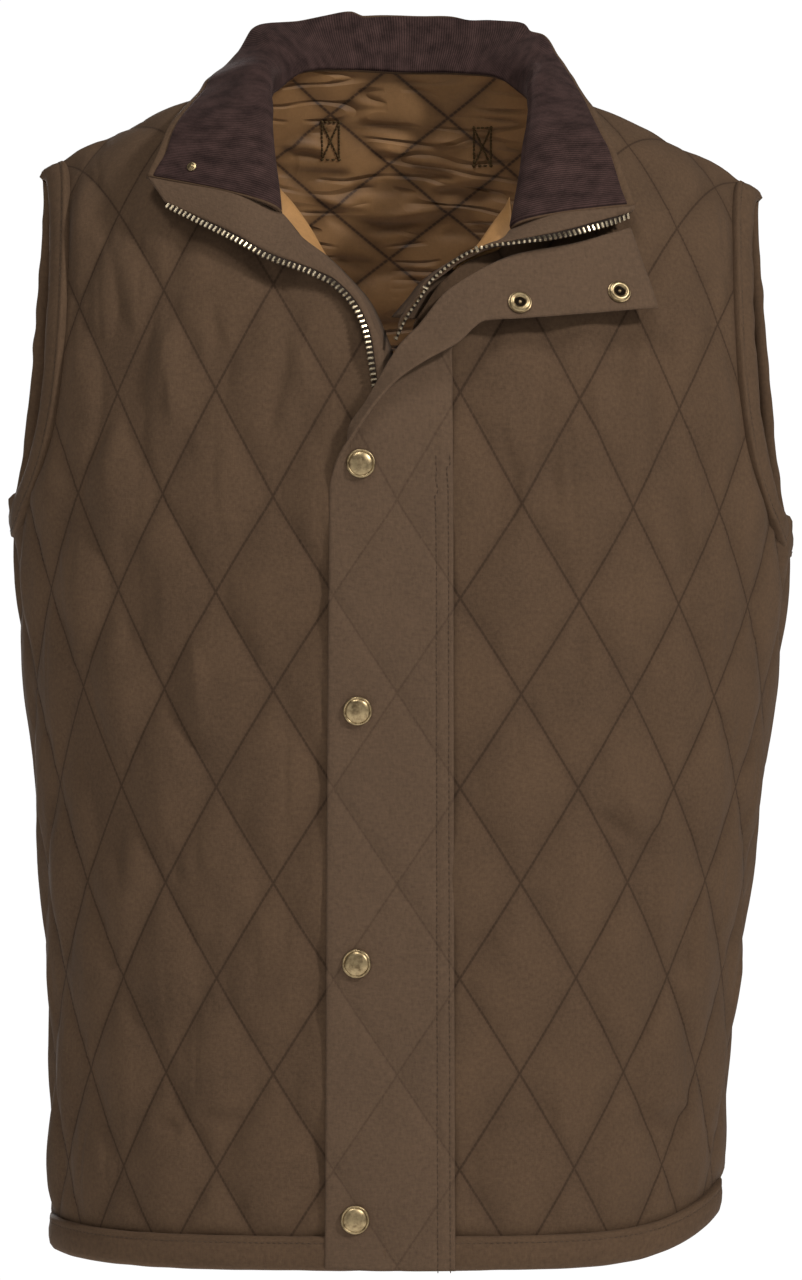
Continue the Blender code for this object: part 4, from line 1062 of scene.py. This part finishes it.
# sliver of each front's lining that shows inside the facing, under the collar's end:
# x, z of its outer and of its inner edge
slivers = {-1: [(-0.0745, -0.0430, -0.0735, -0.0430), (-0.0742, -0.0560, -0.0670, -0.0500),
                (-0.0730, -0.0690, -0.0605, -0.0590), (-0.0640, -0.0780, -0.0535, -0.0700),
                (-0.0540, -0.0860, -0.0470, -0.0815), (-0.0430, -0.0950, -0.0405, -0.0930)],
           1: [(0.0645, -0.0540, 0.0635, -0.0540), (0.0655, -0.0680, 0.0590, -0.0600),
               (0.0655, -0.0790, 0.0530, -0.0685), (0.0590, -0.0845, 0.0450, -0.0800),
               (0.0440, -0.0905, 0.0340, -0.0895), (0.0300, -0.0975, 0.0275, -0.0970)]}


def liningSliver(side, name):
    v = np.linspace(0, 1, 60)
    rows = freeSpline(slivers[side], v)
    w = np.linspace(-0.5, 1, 14)[None]
    x = rows[:, :1] * (1 - w) + rows[:, 2:3] * w
    z = rows[:, 1:2] * (1 - w) + rows[:, 3:] * w
    depth = -0.0030 - 0.010 * np.clip(w, 0, 1) ** 1.5 - 0.004 * np.clip(-w, 0, 1)
    depth = depth + 0.0008 * noise(x / 0.008, z / 0.012, 9)
    top = onFront(x, z, depth)
    gridWall("lining_edge_" + name, top, onFront(x, z, depth - 0.0010), gridFlat(top), liningLitPlain, "lining",
             "lining_front_" + name)


# painted light: the sliver's lining is a lighter copy of the lining's tan
liningLitPlain = cottonMaterial("tan lining lit plain", (0.42, 0.215, 0.075), tanDark, liningGrain, rough=0.62,
                             mottle=0.16)
liningSliver(-1, "right")
liningSliver(1, "left")
print("facings")


# storm flap, hem to collar: sewn edge x, z; fold x, z; free edge x, z; lift of sewn edge, fold and free edge
flapRows = [(0.0316, -0.6858, -0.0120, -0.6858, -0.0445, -0.6845, 0.0021, 0.0021, 0.0021),
            (0.0313, -0.6000, -0.0120, -0.6000, -0.0440, -0.6000, 0.0021, 0.0021, 0.0021),
            (0.0310, -0.5150, -0.0120, -0.5150, -0.0436, -0.5150, 0.0021, 0.0021, 0.0021),
            (0.0308, -0.4300, -0.0120, -0.4300, -0.0432, -0.4300, 0.0021, 0.0021, 0.0021),
            (0.0306, -0.3450, -0.0120, -0.3450, -0.0426, -0.3450, 0.0021, 0.0021, 0.0021),
            (0.0305, -0.2750, -0.0120, -0.2750, -0.0420, -0.2750, 0.0021, 0.0024, 0.0021),
            (0.0304, -0.2290, -0.0160, -0.2290, -0.0415, -0.2290, 0.0021, 0.0040, 0.0030),
            (0.0303, -0.2130, -0.0300, -0.2120, -0.0378, -0.2140, 0.0021, 0.0050, 0.0070),
            (0.0302, -0.1980, -0.0300, -0.1962, -0.0262, -0.1975, 0.0021, 0.0080, 0.0130),
            (0.0300, -0.1800, -0.0205, -0.1800, -0.0130, -0.1790, 0.0021, 0.0095, 0.0160),
            (0.0300, -0.1640, -0.0115, -0.1640, -0.0006, -0.1665, 0.0021, 0.0100, 0.0170),
            (0.0295, -0.1500, -0.0022, -0.1484, 0.0158, -0.1560, 0.0021, 0.0100, 0.0165),
            (0.0310, -0.1400, 0.0105, -0.1345, 0.0310, -0.1475, 0.0021, 0.0070, 0.0150),
            (0.0420, -0.1240, 0.0275, -0.1140, 0.0490, -0.1330, 0.0021, 0.0070, 0.0120),
            (0.0680, -0.1040, 0.0660, -0.0940, 0.0720, -0.1316, 0.0025, 0.0075, 0.0115),
            (0.0990, -0.0980, 0.0970, -0.0880, 0.1080, -0.1285, 0.0030, 0.0080, 0.0115),
            (0.1330, -0.0880, 0.1320, -0.0780, 0.1463, -0.1249, 0.0035, 0.0080, 0.0110)]
flap = {"rows": 300, "half": 30, "wall": 0.0022, "telegraph": 0.0015, "sewn": (0.0030, 0.0100),
        "groove": 0.0006, "sewnShare": 0.70}


def flapPiece():
    rows = np.array(flapRows)
    middle = np.stack([rows[:, [0, 2, 4]].mean(axis=1), rows[:, [1, 3, 5]].mean(axis=1)], axis=1)
    knots = runAlong(middle)
    dense = steadyCurve(knots, rows, np.linspace(0, knots[-1], flap["rows"]))
    edges = [np.stack([dense[:, k], dense[:, k + 1], dense[:, 6 + k // 2]], axis=1) for k in (0, 2, 4)]
    w = np.linspace(0, 1, flap["half"] + 1)[None, :, None]
    plan = np.concatenate([edges[0][:, None] * (1 - w) + edges[1][:, None] * w,
                           (edges[1][:, None] * (1 - w) + edges[2][:, None] * w)[:, 1:]], axis=1)
    x, z, rest = plan[..., 0], plan[..., 1], plan[..., 2]
    u, s = findPlace(x, z)
    flat = toFlat(u, s, "front", "front")
    (offA, offB), _, _ = sewnLines(flat, shellQuilt)
    turned = smoothStep((rest - 0.0030) / 0.0020)
    show = flap["telegraph"] * (np.exp(-offA / 0.004) + np.exp(-offB / 0.004)) * (1 - turned)
    ripple = 0.0005 * noise(x / 0.016, z / 0.020, 6) + 0.0003 * noise(x / 0.006, z / 0.007, 8)
    points = cloth(u, s, "front", rest - show + ripple)
    across = acrossRun(points)
    for _ in range(3):
        points[:, 1:-1] = points[:, 1:-1] * 0.5 + (points[:, 2:] + points[:, :-2]) * 0.25
    normal = unit(np.cross(np.gradient(points, axis=0), np.gradient(points, axis=1)))
    if normal[0, flap["half"], 1] > 0:
        normal = -normal
    dip = sum(flap["groove"] * np.exp(-((across - line) / 0.0009) ** 2) for line in flap["sewn"])
    pinch = np.clip(1 - np.abs(np.linspace(-1, 1, points.shape[1])) ** 24, 0, 1)[None, :, None] ** 0.5
    half = flap["wall"] / 2 * (0.35 + 0.65 * pinch)
    upper = points + normal * (half - dip[..., None])
    lower = points - normal * half
    item = gridWall("flap_cloth", upper, lower, flat, cottonFlap, "shell", "storm_flap", cottonFlapPlain)
    return item, upper, lower, normal, across


flapItem, flapUpper, flapLower, flapNormal, flapAcross = flapPiece()
print("flap", len(flapItem.data.polygons))


# one hard shape from a primitive: add, size in edit mode, round its edges, move in edit mode
def primitive(kind, scale=(1, 1, 1), move=(0, 0, 0), bevel=0.0, segments=1, **settings):
    bpy.ops.object.select_all(action="DESELECT")
    getattr(bpy.ops.mesh, "primitive_%s_add" % kind)(**settings)
    bpy.ops.object.mode_set(mode="EDIT")
    bpy.ops.mesh.select_all(action="SELECT")
    bpy.ops.transform.resize(value=scale)
    if bevel:
        bpy.ops.mesh.bevel(offset=bevel, segments=segments, affect="EDGES")
    bpy.ops.transform.translate(value=move)
    bpy.ops.object.mode_set(mode="OBJECT")
    return bpy.context.object


def joined(items, name, materials):
    bpy.ops.object.select_all(action="DESELECT")
    for item, material in zip(items, materials):
        item.data.materials.clear()
        item.data.materials.append(material)
        item.select_set(True)
    bpy.context.view_layer.objects.active = items[0]
    bpy.ops.object.join()
    item = bpy.context.object
    item.name = name
    bpy.ops.object.shade_smooth_by_angle(angle=math.radians(40))
    return item


def meshPoints(item):
    points = np.empty(len(item.data.vertices) * 3)
    item.data.vertices.foreach_get("co", points)
    return points.reshape(-1, 3)


# moves a shape built about the origin to a place on the vest, its z along the normal
def seat(item, place, normal):
    normal = unit(np.asarray(normal, float))
    side = unit(np.cross((0.0, 0.0, 1.0), normal))
    turn = np.stack([side, np.cross(normal, side), normal], axis=1)
    item.data.vertices.foreach_set("co", (meshPoints(item) @ turn.T + place).ravel())
    item.data.update()
    return item


# many copies of one small shape in one piece
def copies(name, template, places, axes, material, slotName):
    base = meshPoints(template)
    faces = [tuple(polygon.vertices) for polygon in template.data.polygons]
    points = places[:, None] + np.einsum("vk,nkc->nvc", base, axes)
    starts = range(0, len(places) * len(base), len(base))
    everyFace = [tuple(index + start for index in face) for start in starts for face in faces]
    return settle(addPiece(name, points.reshape(-1, 3), everyFace, material, smooth=False), slotName)


# zip: pitch and size of a tooth, top of the closed run, half width of the tape, place of the slider
zipParts = {"pitch": 0.0031, "tooth": (0.0017, 0.0038, 0.0019), "bevel": 0.00042, "closedTop": -0.180,
            "half": 0.0062, "sliderZ": -0.1737}
tooth = primitive("cube", zipParts["tooth"], bevel=zipParts["bevel"], size=1.0)


def toothRow(line, normal):
    at = evenPlaces(line, zipParts["pitch"])
    place = freeSpline(line, at)
    along = unit(np.gradient(place, axis=0))
    out = unit(freeSpline(normal, at))
    across = unit(np.cross(out, along))
    return place + out * 0.0004, np.stack([along, across, out], axis=1)


def closedTeeth():
    z = np.arange(body["hemZ"] + 0.022, zipParts["closedTop"], zipParts["pitch"] / 2)
    x = body["zipX"] + np.where(np.arange(len(z)) % 2, 0.0012, -0.0012)
    place = onFront(x, z, np.full_like(z, -0.0006))
    out = unit(onFront(x, z, np.full_like(z, 1.0)) - place)
    across = np.tile([[1.0, 0.0, 0.0]], (len(z), 1))
    along = unit(np.cross(across, out))
    return place, np.stack([along, across, out], axis=1)


copies("zip_teeth_right", tooth, *toothRow(*zipLines[-1]), toothBrass, "brass")
copies("zip_teeth_left", tooth, *toothRow(*zipLines[1]), toothBrass, "brass")
copies("zip_teeth_closed", tooth, *closedTeeth(), toothBrass, "brass")
bpy.data.objects.remove(tooth)

tapeZ = np.linspace(body["hemZ"] + 0.001, zipParts["closedTop"], 90)[:, None]
tapeX = body["zipX"] + np.linspace(-zipParts["half"], zipParts["half"], 9)[None]
tapeTop = onFront(tapeX + tapeZ * 0, tapeZ + tapeX * 0, -0.0014)
tapeLow = onFront(tapeX + tapeZ * 0, tapeZ + tapeX * 0, -0.0026)
gridWall("zip_tape_closed", tapeTop, tapeLow, gridFlat(tapeTop), tapeCloth, "tape", "zip_closed")

# slider with its flat tab, under the flap
slider = joined([primitive("cube", (0.0090, 0.0110, 0.0010), (0, 0, 0.0012), 0.0004, 2, size=1.0),
                 primitive("cube", (0.0082, 0.0100, 0.0010), (0, 0, -0.0026), 0.0004, 2, size=1.0),
                 primitive("cube", (0.0024, 0.0036, 0.0036), (0, 0.0030, -0.0008), 0.0004, 2, size=1.0),
                 primitive("torus", (1, 1, 0.8), (0, -0.0070, 0.0014), major_radius=0.0022,
                           minor_radius=0.0006, major_segments=32, minor_segments=12),
                 primitive("cube", (0.0056, 0.0200, 0.0011), (0, -0.0180, 0.0014), 0.0005, 3, size=1.0)],
                "zip_pull", [brass] * 5)
sliderSpots = onFront(np.full(2, body["zipX"]), np.full(2, zipParts["sliderZ"]), np.array([0.0, 1.0]))
settle(seat(slider, sliderSpots[0], sliderSpots[1] - sliderSpots[0]), "brass", "zip_slider")
print("zip")

# snaps: domed caps, ring sockets and a small stud, at x, z
snapCaps = [(-0.0234, -0.2150), (-0.0252, -0.3583), (-0.0263, -0.5069), (-0.0275, -0.6555)]
snapSockets = [(0.0690, -0.1195), (0.1281, -0.1126)]
darkBrass = brassMaterial("dark brass", (0.10, 0.070, 0.040), (0.03, 0.02, 0.012), 0.5)
# painted shade: a near-black metal stands for the shade inside the socket's hole
wellShade = brassMaterial("socket well shade", (0.020, 0.014, 0.009), (0.008, 0.005, 0.003), 0.7)


def nearest(grid, normal, columns, x, z):
    part, away = grid[:, columns], normal[:, columns]
    spot = np.unravel_index(np.hypot(part[..., 0] - x, part[..., 2] - z).argmin(), part.shape[:2])
    return part[spot], away[spot] * -np.sign(away[spot][1])


def snapCap(name):
    return joined([primitive("cylinder", bevel=0.0005, segments=3, vertices=56, radius=0.0085, depth=0.0016),
                   primitive("torus", (1, 1, 0.9), (0, 0, 0.0008), major_radius=0.0077, minor_radius=0.0007,
                             major_segments=56, minor_segments=12),
                   primitive("uv_sphere", (1, 1, 0.30), (0, 0, 0.0007), segments=56, ring_count=28,
                             radius=0.0072),
                   primitive("torus", (1, 1, 0.6), (0, 0, 0.0018), major_radius=0.0056, minor_radius=0.00028,
                             major_segments=56, minor_segments=8)],
                  name, [brass, brass, brass, darkBrass])


def snapSocket(name):
    return joined([primitive("cylinder", (1, 1, 1), (0, 0, 0.0002), 0.0003, 2, vertices=48, radius=0.0068,
                             depth=0.0012),
                   primitive("torus", (1, 1, 0.75), (0, 0, 0.0010), major_radius=0.0047, minor_radius=0.0017,
                             major_segments=48, minor_segments=16),
                   primitive("cylinder", (1, 1, 1), (0, 0, 0.0009), vertices=40, radius=0.0036, depth=0.0006),
                   primitive("uv_sphere", (1, 1, 0.7), (0, 0, 0.0012), segments=24, ring_count=12,
                             radius=0.0011)],
                  name, [brass, brass, wellShade, brass])


for number, (x, z) in enumerate(snapCaps, start=1):
    columns = slice(0, None) if number > 1 else slice(0, flap["half"])
    place, away = nearest(flapUpper, flapNormal, columns, x, z)
    cap = seat(snapCap("cap_%d" % number), place + away * 0.0006, away)
    settle(cap, "brass", "snap_cap_%d" % number)
for number, (x, z) in enumerate(snapSockets, start=1):
    place, away = nearest(flapLower, flapNormal, slice(flap["half"] + 1, None), x, z)
    socket = seat(snapSocket("socket_%d" % number), place + away * 0.0004, away)
    settle(socket, "brass", "snap_socket_%d" % number)
stud = joined([primitive("cylinder", (1, 1, 1), (0, 0, 0), 0.0003, 2, vertices=32, radius=0.0029,
                         depth=0.0010),
               primitive("uv_sphere", (1, 1, 0.55), (0, 0, 0.0006), segments=32, ring_count=16,
                         radius=0.0019)], "stud", [brass, brass])
# near the collar's right tip, well towards its free edge
studSpot = int(collar["stations"] * 0.25 / 12), collar["footRows"] + int(0.70 * collar["rows"])
studOut = collarNormal[studSpot]
settle(seat(stud, corduroyTop[studSpot] + studOut * 0.0004, studOut), "brass", "snap_stud")
print("snaps")


# sewing thread: short stitches along a line that lies on a cloth
stitches = {"pitch": 0.0034, "length": 0.0025, "radius": 0.00036, "bandLift": 0.0010}


def stitchShape(line, normal, pitch, length, radius):
    at = evenPlaces(line, pitch, 3)
    place, out = freeSpline(line, at), unit(freeSpline(normal, at))
    along = unit(np.gradient(place, axis=0))
    side = unit(np.cross(along, out))
    out = np.cross(side, along)
    shares = np.array([-0.5, -0.32, 0.0, 0.32, 0.5])
    sizes = np.array([0.25, 0.85, 1.0, 0.85, 0.25])
    sides = 5
    turns = (np.arange(sides) * 2 * math.pi / sides)[None, None, :, None]
    section = np.cos(turns) * side[:, None, None] + np.sin(turns) * out[:, None, None]
    middle = place[:, None] + along[:, None] * (shares * length)[None, :, None]
    middle = middle + out[:, None] * (sizes * radius * 0.5)[None, :, None]
    points = middle[:, :, None] + section * (sizes * radius)[None, :, None, None]
    tail = (len(shares) - 1) * sides
    faces = []
    for first in range(0, len(at) * len(shares) * sides, len(shares) * sides):
        for start in range(first, first + tail, sides):
            for i in range(sides):
                turn = (i + 1) % sides
                faces.append((start + i, start + turn, start + sides + turn, start + sides + i))
        faces.append(tuple(range(first, first + sides))[::-1])
        faces.append(tuple(range(first + tail, first + tail + sides)))
    return points.reshape(-1, 3), faces


def stitchPiece(name, rows, material, slotName, sizes):
    points, faces, start = [], [], 0
    for line, normal in rows:
        more, moreFaces = stitchShape(line, normal, sizes["pitch"], sizes["length"], sizes["radius"])
        points.append(more)
        faces += [tuple(index + start for index in face) for face in moreFaces]
        start += len(more)
    points = np.concatenate(points)
    return settle(addPiece(name, points, faces, material, points[:, [0, 2]]), slotName)


def bandThread(side):
    lines, normals = [], []
    for face in ("front", "back"):
        u, s = armholePlaces(side, face, bands["stitchIn"])
        lines.append(cloth(u, s, face, stitches["bandLift"] - tipSink(s, stitches["bandLift"])))
        normals.append(outward(u, s, face))
    return np.concatenate([lines[0], lines[1][-2:0:-1]]), np.concatenate([normals[0], normals[1][-2:0:-1]])


def hemThread(face, startU, endU):
    u = np.linspace(startU, endU, 160)
    s = np.full_like(u, -1 + bands["stitchIn"] * bands["hemWidth"] / bands["width"] / skirt)
    return cloth(u, s, face, stitches["bandLift"] - sideSink(u, stitches["bandLift"])), outward(u, s, face)


def flapThread(offset, rows):
    picks = np.array([np.abs(flapAcross[i] - offset).argmin() for i in range(rows)])
    index = np.arange(rows)
    return flapUpper[index, picks], flapNormal[index, picks]


flapStop = int(flap["rows"] * flap["sewnShare"])
stitchPiece("thread_shell", [bandThread(1), bandThread(-1), hemThread("front", frontEdges[1][0][0], 1.0),
                             hemThread("front", frontEdges[-1][0][0], -1.0), hemThread("back", -1.0, 1.0),
                             flapThread(flap["sewn"][0], flapStop), flapThread(flap["sewn"][1], flapStop)],
            threadCloth, "shell", stitches)


# cross-in-a-box tacks on the back lining: x, z of the middle
tacks = {"places": [(-0.0430, -0.0122), (0.0497, -0.0159)], "half": (0.0052, 0.0112), "pitch": 0.0021,
         "length": 0.0024, "radius": 0.00075}
liningTree = mathutils.bvhtree.BVHTree.FromObject(liningPieces["lining_back"],
                                                  bpy.context.evaluated_depsgraph_get())


def onLining(x, z):
    hit, normal, _, _ = liningTree.ray_cast(mathutils.Vector((x, -0.02, z)), mathutils.Vector((0, 1, 0)))
    return np.array(hit), np.array(normal)


def tackRows():
    wide, tall = tacks["half"]
    for x, z in tacks["places"]:
        corners = [(-wide, tall), (wide, tall), (wide, -tall), (-wide, -tall)]
        strokes = [(0, 3), (1, 2), (0, 2), (1, 3), (0, 1), (3, 2)]
        for a, b in strokes:
            start, end = np.array(corners[a]), np.array(corners[b])
            line = [start * (1 - t) + end * t for t in np.linspace(0, 1, 14)]
            spots = [onLining(x + across, z + up) for across, up in line]
            yield np.array([spot for spot, _ in spots]), np.array([normal for _, normal in spots])


tackThread = cottonMaterial("tack thread", (0.095, 0.058, 0.024), (0.02, 0.012, 0.006), flapGrain)
stitchPiece("thread_tacks", list(tackRows()), tackThread, "lining", tacks)
print("threads")


# what each cloth was cut to: width, length, area of the cut, how it is held, what it lies on or hangs from
sheets = {
    "front_right_quilt": (0.31, 0.72, 0.172, "hung", ["back_quilt"]),
    "front_left_quilt": (0.31, 0.72, 0.169, "hung", ["back_quilt"]),
    "back_quilt": (0.62, 0.72, 0.362, "hung", ["collar_outside"]),
    "lining_front_right_cloth": (0.31, 0.72, 0.170, "hung", ["front_right_quilt"]),
    "lining_front_left_cloth": (0.31, 0.72, 0.167, "hung", ["front_left_quilt"]),
    "lining_back_cloth": (0.62, 0.72, 0.356, "hung", ["back_quilt"]),
    "collar_outside": (0.54, 0.085, 0.0325, "folded", ["front_right_quilt", "front_left_quilt"]),
    "collar_inside": (0.54, 0.085, 0.0330, "folded", ["collar_outside"]),
    "facing_strip_right": (0.032, 0.22, 0.0055, "folded", ["front_right_quilt"]),
    "facing_strip_left": (0.022, 0.20, 0.0034, "folded", ["front_left_quilt"]),
    "flap_cloth": (0.078, 0.78, 0.0465, "folded", ["front_left_quilt"]),
    "zip_tape_closed": (0.0124, 0.505, None, "stretched", ["front_right_quilt", "front_left_quilt"]),
    "armhole_binding_right": (0.018, 0.60, None, "folded", ["front_right_quilt", "back_quilt"]),
    "armhole_binding_left": (0.018, 0.60, None, "folded", ["front_left_quilt", "back_quilt"]),
    "hem_binding_right": (0.0225, 0.295, None, "folded", ["front_right_quilt"]),
    "hem_binding_left": (0.0225, 0.275, None, "folded", ["front_left_quilt"]),
    "hem_binding_back": (0.0225, 0.57, None, "folded", ["back_quilt"])}
sewnOn = {"facing_strip_right": ["zip_tape_right", "zip_teeth_right"],
          "facing_strip_left": ["zip_tape_left", "zip_teeth_left"], "zip_tape_closed": ["zip_teeth_closed"],
          "lining_front_right_cloth": ["lining_edge_right"], "lining_front_left_cloth": ["lining_edge_left"],
          "lining_back_cloth": ["thread_tacks"]}
for piece, (width, length, area, held, under) in sheets.items():
    [bpy.data.objects[name] for name in sewnOn.get(piece, [])]
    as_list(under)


# pale floor below the vest, under a white sky that only the camera sees at full strength
studio = {"floorZ": -1.4, "half": 6.0, "near": -8.0, "far": 8.0, "glow": 0.45, "sky": 0.06, "seen": 0.97}


def studioFloor():
    points = np.array([(x, y, studio["floorZ"]) for y in (studio["near"], studio["far"])
                       for x in (-studio["half"], studio["half"])])
    pale = Chain("pale floor").finish({"Base Color": (0.86, 0.86, 0.86, 1.0), "Roughness": 0.9,
                                       "Emission Color": (1.0, 1.0, 1.0, 1.0),
                                       "Emission Strength": studio["glow"]})
    return addPiece("floor", points, [(0, 1, 3, 2)], pale)


studioFloor()

# softboxes: place, aim, size, power
lamps = {"key": ((3.0, -2.7, 2.4), (0.0, 0.0, -0.25), 0.5, 132.0),
         "fill": ((-2.6, -3.4, 0.4), (0.0, 0.0, -0.35), 2.4, 12.0),
         "front": ((0.4, -4.6, 0.5), (0.0, 0.0, -0.32), 1.6, 9.0),
         "top": ((-0.4, -1.4, 2.2), (0.0, 0.06, 0.0), 0.7, 28.0),
         "behind": ((-1.0, 4.4, 0.5), (0.0, 0.0, -0.32), 1.2, 115.0)}


def aim(item, target):
    direction = np.asarray(target, float) - np.asarray(item.location, float)
    flatRun = math.hypot(direction[0], direction[1])
    item.rotation_euler = (math.atan2(flatRun, -direction[2]), 0.0, math.atan2(-direction[0], direction[1]))


for name, (place, target, size, power) in lamps.items():
    lamp = bpy.data.lights.new(name, "AREA")
    lamp.shape = "SQUARE"
    lamp.size = size
    lamp.energy = power
    holder = bpy.data.objects.new(name, lamp)
    bpy.context.scene.collection.objects.link(holder)
    holder.location = place
    aim(holder, target)

world = bpy.data.worlds.new("studio")
world.use_nodes = True
background = world.node_tree.nodes["Background"]
background.inputs["Color"].default_value = (1.0, 1.0, 1.0, 1.0)
seen = world.node_tree.nodes.new("ShaderNodeMath")
seen.operation = "MULTIPLY_ADD"
seen.inputs[1].default_value = studio["seen"]
seen.inputs[2].default_value = studio["sky"]
lightPath = world.node_tree.nodes.new("ShaderNodeLightPath")
world.node_tree.links.new(lightPath.outputs["Is Camera Ray"], seen.inputs[0])
world.node_tree.links.new(seen.outputs[0], background.inputs["Strength"])
bpy.context.scene.world = world
bpy.context.scene.view_settings.view_transform = "Standard"

# level long lens, 0.6 mm of the vest's middle plane to each of the picture's 1280 lines
lens = {"distance": 5.0, "height": -0.3168, "span": 0.768, "sensor": 36.0}
camera = bpy.data.cameras.new("camera")
camera.sensor_fit = "VERTICAL"
camera.sensor_height = lens["sensor"]
camera.lens = lens["sensor"] * lens["distance"] / lens["span"]
camera.clip_end = 60.0
cameraHolder = bpy.data.objects.new("camera", camera)
bpy.context.scene.collection.objects.link(cameraHolder)
cameraHolder.location = (0.0, -lens["distance"], lens["height"])
cameraHolder.rotation_euler = (math.pi / 2, 0.0, 0.0)
bpy.context.scene.camera = cameraHolder

print("scene done")
